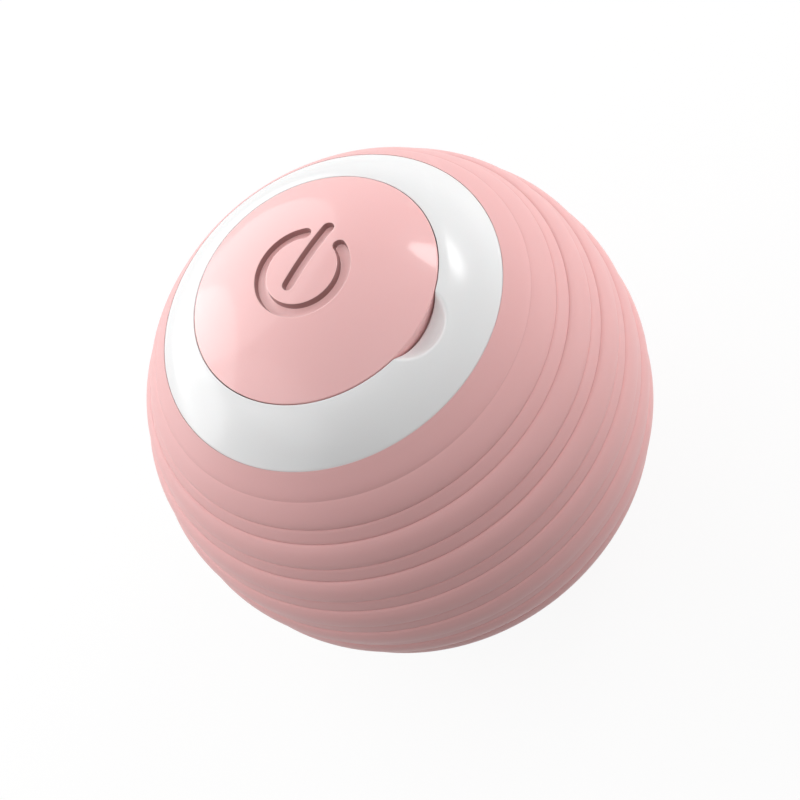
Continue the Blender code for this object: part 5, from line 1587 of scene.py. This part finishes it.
@dataclass
class PressCap:
    """The pink cap: a dome with the power symbol, a skirt that seats in the well, lugs and press pins.

    grid is the spacing of the dome's points away from the symbol, and grid_gap how far inside a groove they
    start. The dome's rim is welded to the side within seam. The notch in the skirt clears the strap's ears.
    """

    ball: Ball
    bezel: Bezel
    radius: float = 0.00987
    wall: float = 0.0010
    side: float = 0.0020
    skirt_wall: float = 0.0010
    edge_round: float = 0.00009
    steps: int = 192
    roof_steps: int = 16
    grid: float = 0.00034
    grid_gap: float = 2.2
    seam: float = 5 * WELD
    notch_width: float = 0.0074
    notch_reach: float = 0.0024
    notch_roof: float = 0.00038
    pin_radius: float = 0.0006
    pin_circle: float = 0.0054
    pin_angles: tuple[int, ...] = (22, 158)
    pin_lift: float = 0.0004
    pin_steps: int = 32
    lug_places: Point = (0.0016, 0.0025)
    lug_radius: float = 0.0009
    lug_steps: int = 20
    pivot_y: float = 0.0011026
    pin_hole: float = 0.00052
    symbol: PowerSymbol = field(default_factory=PowerSymbol)
    finish: Finish = CAP_PINK

    def dome(self) -> bmesh.types.BMesh:
        """The dome's upper face, meshed along the symbol's outline.

        Returns:
            The mesh, open at its rim.
        """
        rim = self.radius - self.edge_round
        points: list[Vector] = []
        edges: list[tuple[int, int]] = []
        loops = [self.symbol.ring_outline(offset) for offset in self.symbol.edge_offsets]
        loops += [self.symbol.bar_outline(offset) for offset in self.symbol.edge_offsets]
        loops.append([polar(rim, angle) for angle in bearings(self.steps)])
        for loop in loops:
            first = len(points)
            points.extend(Vector(point) for point in loop)
            edges.extend((first + step, first + (step + 1) % len(loop)) for step in range(len(loop)))
        # A staggered grid fills the dome between the outlines.
        count = int(rim / self.grid) + 1
        near = self.symbol.edge_offsets[0] + self.grid / 3
        for row in range(-count, count + 1):
            for column in range(-count, count + 1):
                x = (column + 0.5 * (row % 2)) * self.grid
                y = row * self.grid * math.sqrt(3) / 2
                gap = self.symbol.distance(x, y)
                if math.hypot(x, y) < rim - self.grid / 2 and (gap > near or gap < -self.grid_gap * near):
                    points.append(Vector((x, y)))
        flat, _, faces, *_ = delaunay_2d_cdt(points, edges, [], 0, WELD)
        bm = bmesh.new()
        heights = [self.ball.top(math.hypot(x, y)) - self.symbol.depth_at(x, y) for x, y in flat]
        verts = [bm.verts.new((x, y, height)) for (x, y), height in zip(flat, heights)]
        for face in faces:
            bm.faces.new([verts[index] for index in face])
        return bm

    def shell(self) -> bmesh.types.BMesh:
        """The dome closed by its rounded rim, its side, its skirt and its roof.

        Returns:
            The closed mesh.
        """
        ball, edge = self.ball, self.edge_round
        rim, edge_z = self.radius - edge, ball.top(self.radius)
        foot_radius = self.radius - self.side * math.tan(self.bezel.draft)
        foot_z = edge_z - self.side
        roof = ball.radius - self.wall
        inner = foot_radius - self.skirt_wall
        profile = [
            (rim, ball.top(rim)), (self.radius, edge_z), (foot_radius, foot_z), (inner, foot_z),
            (inner, ball.top(inner, roof)),
        ]
        profile = fillets(profile, {1: edge, 2: edge, 3: edge})
        profile += [(distance, ball.top(distance, roof)) for distance in even(inner, 0, self.roof_steps)[1:]]
        bm = self.dome()
        rows = [[bm.verts.new(point) for point in loop] for loop in ring_loops(profile, bearings(self.steps))]
        for row, after in zip(rows, rows[1:]):
            for step in range(self.steps):
                near = (step + 1) % self.steps
                bm.faces.new((row[step], after[step], after[near], row[near]))
        bmesh.ops.remove_doubles(bm, verts=bm.verts, dist=self.seam)
        return tidy(bm)

    def lug(self, side: int) -> bmesh.types.BMesh:
        """One of the two lugs that hold the strap's pin, with a round foot and a hole.

        Args:
            side: -1 for the left one, 1 for the right.

        Returns:
            Its mesh.
        """
        pivot = (self.pivot_y, self.bezel.pivot_z)
        high = self.ball.top(self.pivot_y, self.ball.radius - self.wall) + self.wall / 4
        outline = [polar(self.lug_radius, angle, pivot) for angle in even(math.pi, TAU, self.lug_steps)]
        outline = [(pivot[0] - self.lug_radius, high)] + outline + [(pivot[0] + self.lug_radius, high)]
        return eye_plate(outline, pivot, self.pin_hole, self.lug_places, side)

    def build(self) -> None:
        """Builds the cap with its notch, lugs and pins, and dresses it."""
        item = object_of("cap_dome", self.shell())
        top = self.ball.top(self.radius) - self.notch_roof
        half, near, far = self.notch_width / 2, self.radius - self.notch_reach, self.radius + self.notch_reach
        corners = [(-half, near), (half, near), (half, far), (-half, far)]
        combine(item, prism(corners, self.bezel.floor_z, top), Join.CUT)
        settle(item, Body.LID, self.finish, ["cap"])
        roof = self.ball.top(self.pin_circle, self.ball.radius - self.wall)
        low = self.bezel.floor_z + self.pin_lift
        for number, turn in enumerate(self.pin_angles, 1):
            place = polar(self.pin_circle, math.radians(turn))
            pin = rod(self.pin_radius, low, roof, self.pin_steps, self.edge_round, place)
            settle(object_of(f"cap_pin_{number}", pin), Body.LID, self.finish)
        for side, name in ((-1, "cap_lug_left"), (1, "cap_lug_right")):
            settle(object_of(name, self.lug(side)), Body.LID, self.finish)


# Under the cap


@dataclass
class Strap:
    """The silicone strap that keeps the cap on the ball, with a barrel and a pin at each end."""

    bezel: Bezel
    cap: PressCap
    width: float = 0.0028
    thickness: float = 0.0008
    floor_gap: float = 0.00025
    bend: float = 0.0009
    bend_steps: int = 9
    edge: float = 0.00018
    barrel: float = 0.00068
    barrel_steps: int = 40
    pin: float = 0.0004
    pin_length: float = 0.0051
    pin_edge: float = 0.00008
    finish: Finish = STRAP_PINK

    def path(self) -> Profile:
        """The strap's middle line, from the ring's pin to the cap's pin.

        Returns:
            Its points as (y, z).
        """
        low = self.bezel.floor_z + self.floor_gap + self.thickness / 2
        start, end, pivot_z = self.bezel.anchor_y, self.cap.pivot_y, self.bezel.pivot_z
        corners = [(start, pivot_z), (start, low), (end, low), (end, pivot_z)]
        corners = fillets(corners, {1: self.bend, 2: self.bend}, self.bend_steps)
        # Long stretches are cut into pieces about as long as the strap is thick.
        points: Profile = []
        for before, after in zip(corners, corners[1:]):
            count = max(1, round(math.dist(before, after) / self.thickness))
            points += [tuple(Vector(before).lerp(Vector(after), step / count)) for step in range(count)]
        return points + [corners[-1]]

    def ribbon(self) -> bmesh.types.BMesh:
        """The strap between its barrels, with rounded edges.

        Returns:
            Its mesh.
        """
        half, thick = self.width / 2, self.thickness / 2
        section = rounded([(half, -thick), (half, thick), (-half, thick), (-half, -thick)], self.edge)
        points = self.path()
        loops = []
        for index, (y, z) in enumerate(points):
            before, after = points[max(index - 1, 0)], points[min(index + 1, len(points) - 1)]
            along = Vector((after[0] - before[0], after[1] - before[1])).normalized()
            loops.append([(across, y - along.y * lift, z + along.x * lift) for across, lift in section])
        return mesh_of_loops(loops, closed=False)

    def spindle(self, y: float) -> bmesh.types.BMesh:
        """A barrel with a pin out of each side, across X.

        Args:
            y: Where it lies along Y.

        Returns:
            Its mesh.
        """
        half, reach = self.width / 2, self.pin_length / 2
        profile = [
            (0.0, reach), (self.pin, reach), (self.pin, half), (self.barrel, half),
            (self.barrel, -half), (self.pin, -half), (self.pin, -reach), (0.0, -reach),
        ]
        rounds = {1: self.pin_edge, 3: self.edge, 4: self.edge, 6: self.pin_edge}
        frame = Matrix.Translation((0, y, self.bezel.pivot_z)) @ Matrix.Rotation(math.pi / 2, 4, "Y")
        return placed(turned(fillets(profile, rounds), self.barrel_steps), frame)

    def build(self) -> None:
        """Builds the strap and dresses it."""
        item = object_of("strap_ribbon", self.ribbon())
        for y in (self.bezel.anchor_y, self.cap.pivot_y):
            combine(item, self.spindle(y), Join.ADD)
        settle(item, Body.STRAP, self.finish, ["tether"])


@dataclass
class ButtonDisc:
    """The floating disc in the well's floor, with the plug's slot, a skirt, tabs and a post to the switch.

    chamfer_shares place the middle point of its rounded outer edge. tab_size is a tab's length, width and
    height.
    """

    bezel: Bezel
    radius: float = 0.0066995
    chamfer: float = 0.00018
    chamfer_shares: Point = (0.7, 0.35)
    wall: float = 0.0010
    skirt_wall: float = 0.0008
    tab_size: tuple[float, float, float] = (0.0012, 0.0026, 0.0006)
    tab_gap: float = 0.0003
    slot_size: Point = (0.00964, 0.00396)
    slot_centre: Point = (0.0, -0.0023)
    slot_round: float = 0.00015
    slot_steps: int = 24
    side_steps: int = 40
    post_place: Point = (0.0, 0.0038)
    post_radius: float = 0.0009
    post_foot: float = 0.032102
    post_steps: int = 32
    finish: Finish = DISC_WHITE

    def ring(self, radius: float) -> Profile:
        """Points of a circle about the axis that face the slot's points, seen from the slot's centre.

        Args:
            radius: The circle's radius.

        Returns:
            The points, as many as the slot has.
        """
        points: Profile = []
        start = Vector(self.slot_centre)
        for x, y in self.slot(0.0):
            way = Vector((x - self.slot_centre[0], y - self.slot_centre[1])).normalized()
            # The ray meets the circle where its distance from the axis is the radius.
            lean = way.dot(start)
            reach = -lean + math.sqrt(lean**2 + radius**2 - start.length_squared)
            points.append(tuple(start + way * reach))
        return points

    def slot(self, grow: float) -> Profile:
        """The slot's outline, with points along its straight sides too.

        Args:
            grow: How far it is grown all round.

        Returns:
            The closed outline.
        """
        width, depth = self.slot_size
        outline = slot_outline(width + 2 * grow, depth + 2 * grow, self.slot_steps, self.slot_centre)
        points: Profile = []
        for here, there in zip(outline, outline[1:] + outline[:1]):
            parts = self.side_steps if math.dist(here, there) > (width - depth) / 2 else 1
            points += [tuple(Vector(here).lerp(Vector(there), step / parts)) for step in range(parts)]
        return points

    def build(self) -> None:
        """Builds the disc and dresses it."""
        top = self.bezel.floor_z
        under, edge = top - self.wall, self.slot_round
        foot = top - self.bezel.floor_wall - self.tab_gap - self.tab_size[2]
        inner = self.radius - self.skirt_wall
        rim = self.radius - self.chamfer
        out, down = self.chamfer_shares
        middle = edge * ROUND_SHARE
        rows = [
            (self.slot(0.0), under), (self.slot(0.0), top - edge), (self.slot(middle), top - middle),
            (self.slot(edge), top), (self.ring(rim), top),
            (self.ring(rim + self.chamfer * out), top - edge * down),
            (self.ring(self.radius), top - self.chamfer), (self.ring(self.radius), foot),
            (self.ring(inner), foot), (self.ring(inner), under),
        ]
        item = object_of("disc_plate", mesh_of_loops(stacked(rows), closed=True))
        length, width, height = self.tab_size
        half, near = width / 2, self.radius - self.skirt_wall / 2
        far = near + length
        # Each tab stands opposite a screw.
        for turn in self.bezel.screw_angles:
            tab = prism([(near, -half), (far, -half), (far, half), (near, half)], foot, foot + height)
            combine(item, placed(tab, Matrix.Rotation(math.radians(turn + 180), 4, "Z")), Join.ADD)
        post_top = top - self.wall / 2
        post = rod(self.post_radius, self.post_foot, post_top, self.post_steps, self.chamfer, self.post_place)
        combine(item, post, Join.ADD)
        settle(item, Body.BUTTON, self.finish, ["button_disc"])


@dataclass
class Socket:
    """The charging socket: a drawn steel shell round a black tongue with gold contacts.

    contact_size is a contact's width, its height over the tongue's face and its length.
    """

    bezel: Bezel
    size: Point = (0.00894, 0.00326)
    wall: float = 0.0003
    recess: float = 0.0005
    low: float = 0.029852
    centre: Point = (0.0, -0.0023)
    lip: float = 0.00010
    gap: float = 0.00012
    base_height: float = 0.0014
    tongue_size: Point = (0.0067, 0.0007)
    tongue_recess: float = 0.0007
    tongue_round: float = 0.00012
    contact_size: tuple[float, float, float] = (0.00026, 0.00003, 0.0024)
    contact_pitch: float = 0.0005
    contact_count: int = 12
    contact_drop: float = 0.00035
    steps: int = 16

    @property
    def top(self) -> float:
        """Height of the shell's mouth."""
        return self.bezel.floor_z - self.recess

    def outline(self, inset: float) -> Profile:
        """The shell's outline, drawn in all round."""
        return slot_outline(self.size[0] - 2 * inset, self.size[1] - 2 * inset, self.steps, self.centre)

    def shell(self) -> bmesh.types.BMesh:
        """The cup-shaped shell with a rounded mouth.

        Returns:
            Its mesh.
        """
        lip, wall, top = self.lip, self.wall, self.top
        middle = lip * ROUND_SHARE
        rows = [
            (0.0, self.low), (0.0, top - lip), (middle, top - middle), (lip, top), (wall - lip, top),
            (wall - middle, top - middle), (wall, top - lip), (wall, self.low + wall),
        ]
        return mesh_of_loops(stacked([(self.outline(inset), height) for inset, height in rows]), closed=False)

    def tongue(self) -> bmesh.types.BMesh:
        """The tongue on its base, with a rounded tip.

        Returns:
            Its mesh.
        """
        foot = self.low + self.wall + self.gap
        shelf, tip = foot + self.base_height, self.top - self.tongue_recess
        width, depth = self.tongue_size
        base = self.outline(self.wall + self.gap)
        rows = [
            (base, foot), (base, shelf - self.tongue_round),
            (self.outline(self.wall + self.gap + self.tongue_round), shelf),
        ]
        for inset, height in ((0.0, shelf), (0.0, tip - 2 * self.tongue_round), (self.tongue_round, tip)):
            shape = slot_outline(width - 2 * inset, depth - 2 * inset, self.steps, self.centre)
            rows.append((shape, height))
        return mesh_of_loops(stacked(rows), closed=False)

    def contacts(self) -> bmesh.types.BMesh:
        """The gold contacts on both faces of the tongue.

        Returns:
            One mesh with all of them.
        """
        bm = bmesh.new()
        width, proud, height = self.contact_size
        high = self.top - self.tongue_recess - self.contact_drop
        face = self.tongue_size[1] / 2
        for side in (-1, 1):
            for place in range(self.contact_count):
                x = (place - (self.contact_count - 1) / 2) * self.contact_pitch
                size = Matrix.Diagonal((width, 2 * proud, height, 1))
                move = Matrix.Translation((x, self.centre[1] + side * face, high - height / 2))
                bmesh.ops.create_cube(bm, size=1.0, matrix=move @ size)
        return bm

    def build(self) -> None:
        """Builds the shell, the tongue and its contacts, and dresses them."""
        settle(object_of("socket_shell", self.shell()), Body.CASE, SOCKET_STEEL, ["usb_shell"])
        settle(object_of("socket_tongue", self.tongue()), Body.CASE, SOCKET_BLACK, ["usb_tongue"])
        contacts = object_of("socket_contacts", self.contacts())
        soften(contacts, self.contact_size[1] / 2)
        settle(contacts, Body.CASE, CONTACT_GOLD)


@dataclass
class WellScrews:
    """The cross-head screws in the well's floor, with rounded heads and threaded shanks.

    head_crown and head_round shape the head's top. cross_taper is the size of the recess at its bottom, as
    shares of its length and width at the top.
    """

    bezel: Bezel
    head_radius: float = 0.00105
    head_height: float = 0.0007
    head_edge: float = 0.00022
    head_crown: Point = (0.55, 0.12)
    head_round: float = 0.6
    head_steps: int = 5
    shank: float = 0.0005
    thread_depth: float = 0.00009
    thread_pitch: float = 0.00040
    cross_length: float = 0.00125
    cross_width: float = 0.00028
    cross_depth: float = 0.00035
    cross_taper: Point = (0.64, 0.76)
    cross_turn: float = 17.0
    steps: int = 40
    finish: Finish = PLATED_STEEL

    def blank(self, seat: float, low: float) -> Profile:
        """The outline of a screw from its head to its tip.

        Args:
            seat: Height of the face under its head.
            low: Height of its tip.

        Returns:
            The closed outline as (radius, height).
        """
        top, (out, down) = seat + self.head_height, self.head_crown
        profile = [
            (0.0, top), (self.head_radius * out, top - self.head_edge * down),
            (self.head_radius, top - self.head_edge), (self.head_radius, seat), (self.shank, seat),
        ]
        profile = fillet(profile, 2, self.head_edge * self.head_round, self.head_steps)
        height, root = seat - self.thread_pitch, self.shank - self.thread_depth
        while height - self.thread_pitch > low + self.shank:
            profile += [(self.shank, height), (root, height - self.thread_pitch / 2)]
            height -= self.thread_pitch
        return profile + [(self.shank, low + self.shank), (0.0, low)]

    def cross_bar(self, top: float) -> bmesh.types.BMesh:
        """One bar of the recess in a head, along X, which tapers to its bottom.

        Args:
            top: Height of the head.

        Returns:
            The shape to cut away.
        """
        ends = ((self.cross_taper, top - self.cross_depth), ((1.0, 1.0), top + self.cross_depth / 2))
        rows = []
        for (along, across), height in ends:
            half, side = self.cross_length * along / 2, self.cross_width * across / 2
            rows.append(([(-half, -side), (half, -side), (half, side), (-half, side)], height))
        return mesh_of_loops(stacked(rows), closed=False)

    def build(self) -> None:
        """Builds the three screws, each turned its own way, and dresses them."""
        seat = self.bezel.floor_z - self.bezel.screw_seat
        for number, place in enumerate(self.bezel.screw_places(), 1):
            node = f"well_screw_{number}"
            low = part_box(node)[0][2]
            move = Matrix.Translation((*place, 0.0))
            item = object_of(f"floor_screw_{number}", placed(turned(self.blank(seat, low), self.steps), move))
            for turn in (self.cross_turn * number, self.cross_turn * number + 90):
                frame = move @ Matrix.Rotation(math.radians(turn), 4, "Z")
                combine(item, placed(self.cross_bar(seat + self.head_height), frame), Join.CUT)
            settle(item, Body.CASE, self.finish, [node])


# Inside the ball


@dataclass
class InnerWorks:
    """The pieces inside the ball, whose solids stay and get their finishes here."""

    record: dict
    nodes: dict[str, bpy.types.Object]
    finishes: dict[str, Finish] = field(default_factory=lambda: INNER_FINISHES)

    def dress(self) -> None:
        """Gives each solid that still shows the finish of its material slot."""
        for row in self.record["subparts"]:
            item = self.nodes[row["node"]]
            if item.hide_render:
                continue
            finish = self.finishes[row["material_slot"]]
            material = finish.make()
            for slot in item.material_slots:
                slot.material = material
            LOG.info("%s keeps its solid, in %s", item.name, finish.name)


# Stage


def direction(azimuth: float, elevation: float) -> Vector:
    """The way from the ball to a lamp or the camera. Azimuth 0 is -Y, and a quarter turn is +X."""
    flat = math.cos(elevation)
    return Vector((math.sin(azimuth) * flat, -math.cos(azimuth) * flat, math.sin(elevation)))


@dataclass(frozen=True)
class Lamp:
    """A soft lamp that faces the ball.

    Its azimuth is 0 at -Y and 90 at +X. Its level is the light that it throws on a surface that faces it,
    where 1 makes a white surface as bright as white. Its width and height are the angles that it fills. One
    that doesn't shine isn't mirrored in glossy pieces.
    """

    name: str
    azimuth: float
    elevation: float
    level: float
    width: float
    height: float
    reach: float = 0.30
    turn: float = 0.0
    shines: bool = True

    def build(self, centre: Vector) -> None:
        """Adds the lamp.

        Args:
            centre: The point that it faces.
        """
        data = bpy.data.lights.new(self.name, "AREA")
        data.shape = "ELLIPSE"
        data.size = 2 * self.reach * math.tan(math.radians(self.width / 2))
        data.size_y = 2 * self.reach * math.tan(math.radians(self.height / 2))
        data.energy = self.level * math.pi**2 * self.reach**2
        item = bpy.data.objects.new(self.name, data)
        way = direction(math.radians(self.azimuth), math.radians(self.elevation))
        aim = way.to_track_quat("Z", "Y").to_matrix().to_4x4()
        turn = Matrix.Rotation(math.radians(self.turn), 4, "Z")
        item.matrix_world = Matrix.Translation(centre + way * self.reach) @ aim @ turn
        item.visible_camera = False
        item.visible_glossy = self.shines
        bpy.context.scene.collection.objects.link(item)
        LOG.info("lamp %s", self.name)


LAMPS = (
    Lamp("key", azimuth=168, elevation=31, level=0.53, width=60, height=60),
    Lamp("left fill", azimuth=-158, elevation=14, level=0.44, width=52, height=52),
    Lamp("left front", azimuth=-116, elevation=33, level=0.24, width=60, height=60),
    Lamp("back fill", azimuth=112, elevation=22, level=0.05, width=60, height=60),
    Lamp("right fill", azimuth=64, elevation=2, level=1.08, width=84, height=22, shines=False),
    Lamp("front", azimuth=0, elevation=45, level=0.12, width=70, height=70),
    Lamp("top", azimuth=-50, elevation=76, level=0.46, width=90, height=90),
    Lamp("glint", azimuth=80, elevation=43, level=0.14, width=23, height=9, turn=14),
)


@dataclass
class Studio:
    """A plain pale floor, soft lamps and the camera at the photograph's view.

    The floor glows for the rays that see the backdrop, by floor_glow near the ball and wholly from the second
    distance of glow_fade on. roll turns the camera about its own view.
    """

    ball: Ball
    lamps: tuple[Lamp, ...] = LAMPS
    distance: float = 0.11825
    azimuth: float = math.radians(-25.5)
    elevation: float = math.radians(55.8)
    roll: float = math.radians(37.4)
    lens: float = 61.7
    clip: tuple[float, float] = (0.01, 10.0)
    floor_reach: float = 1.5
    floor_drop: float = 0.00001
    floor_gloss: float = 0.9
    floor_tone: float = 0.22
    floor_glow: float = 0.90
    glow_fade: tuple[float, float] = (0.06, 0.30)
    world_level: float = 0.10

    def camera(self) -> None:
        """Places the camera."""
        data = bpy.data.cameras.new("camera")
        data.lens = self.lens
        data.clip_start, data.clip_end = self.clip
        item = bpy.data.objects.new("camera", data)
        way = direction(self.azimuth, self.elevation)
        up = (Vector((0, 0, 1)) - way * way.z).normalized()
        right = up.cross(way)
        tilted_up = up * math.cos(self.roll) + right * math.sin(self.roll)
        place = Vector((0, 0, self.ball.centre_z)) + way * self.distance
        columns = zip(tilted_up.cross(way), tilted_up, way, place)
        item.matrix_world = Matrix([tuple(row) for row in columns] + [(0, 0, 0, 1)])
        bpy.context.scene.collection.objects.link(item)
        bpy.context.scene.camera = item

    @staticmethod
    def seen(tree: Tree) -> bpy.types.NodeSocket:
        """Tells which rays see the backdrop: the camera's, and those that metal or glass sends on.

        Args:
            tree: The tree of the material or of the world.

        Returns:
            A socket that is 1 for those rays.
        """
        path = tree.add("LightPath")
        first = tree.add("Math", operation="MAXIMUM")
        both = tree.add("Math", operation="MAXIMUM")
        tree.link(
            (path.outputs["Is Camera Ray"], first.inputs[0]),
            (path.outputs["Is Glossy Ray"], first.inputs[1]),
            (first.outputs[0], both.inputs[0]),
            (path.outputs["Is Transmission Ray"], both.inputs[1]),
        )
        return both.outputs[0]

    def floor(self) -> None:
        """Lays the floor, which keeps the ball's shadow and turns wholly white away from it."""
        mesh = bpy.data.meshes.new("floor")
        half = self.floor_reach
        corners = [(-half, -half), (half, -half), (half, half), (-half, half)]
        mesh.from_pydata([(x, y, -self.floor_drop) for x, y in corners], [], [(0, 1, 2, 3)])
        item = bpy.data.objects.new("floor", mesh)
        bpy.context.scene.collection.objects.link(item)
        material = bpy.data.materials.new("pale floor")
        material.use_nodes = True
        tree = Tree(material.node_tree)
        shader = material.node_tree.nodes["Principled BSDF"]
        shader.inputs["Roughness"].default_value = self.floor_gloss
        seen = self.seen(tree)
        tones = {MIX_A: (*(self.floor_tone,) * 3, 1), MIX_B: (1, 1, 1, 1)}
        tone = tree.add("Mix", tones, data_type="RGBA")
        glow = tree.add("Emission", {"Color": (1, 1, 1, 1)})
        place = tree.add("TexCoord")
        away = tree.add("VectorMath", operation="LENGTH")
        near, far = self.glow_fade
        ramp = {"From Min": near, "From Max": far, "To Min": self.floor_glow, "To Max": 1.0}
        level = tree.add("MapRange", ramp)
        share = tree.add("Math", operation="MULTIPLY")
        blend = tree.add("MixShader")
        tree.link(
            (seen, tone.inputs["Factor"]),
            (tone.outputs[MIX_OUT], shader.inputs["Base Color"]),
            (place.outputs["Object"], away.inputs[0]),
            (away.outputs["Value"], level.inputs["Value"]),
            (level.outputs["Result"], share.inputs[1]),
            (seen, share.inputs[0]),
            (share.outputs[0], blend.inputs["Fac"]),
            (shader.outputs[0], blend.inputs[1]),
            (glow.outputs[0], blend.inputs[2]),
            (blend.outputs[0], material.node_tree.nodes["Material Output"].inputs["Surface"]),
        )
        mesh.materials.append(material)

    def world(self) -> None:
        """Sets the even light from all round, and a white backdrop."""
        world = bpy.data.worlds.new("studio")
        world.use_nodes = True
        tree = Tree(world.node_tree)
        level = tree.add("MapRange", {"To Min": self.world_level, "To Max": 1.0})
        back = world.node_tree.nodes["Background"]
        back.inputs["Color"].default_value = (1, 1, 1, 1)
        tree.link(
            (self.seen(tree), level.inputs["Value"]),
            (level.outputs["Result"], back.inputs["Strength"]),
        )
        bpy.context.scene.world = world

    def build(self) -> None:
        """Sets up the stage."""
        bpy.context.scene.view_settings.view_transform = "Standard"
        self.camera()
        self.floor()
        self.world()
        for lamp in self.lamps:
            lamp.build(Vector((0, 0, self.ball.centre_z)))


def main() -> None:
    """Builds every sub-assembly in order."""
    logging.basicConfig(level=logging.INFO, format="%(message)s")
    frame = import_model()
    ball = Ball()
    bezel = Bezel(ball)
    cap = PressCap(ball, bezel)
    Sleeve(ball).build()
    bezel.build()
    cap.build()
    Strap(bezel, cap).build()
    ButtonDisc(bezel).build()
    Socket(bezel).build()
    WellScrews(bezel).build()
    InnerWorks(frame["record"], frame["nodes"]).dress()
    Studio(ball).build()


if __name__ == "__main__":
    main()
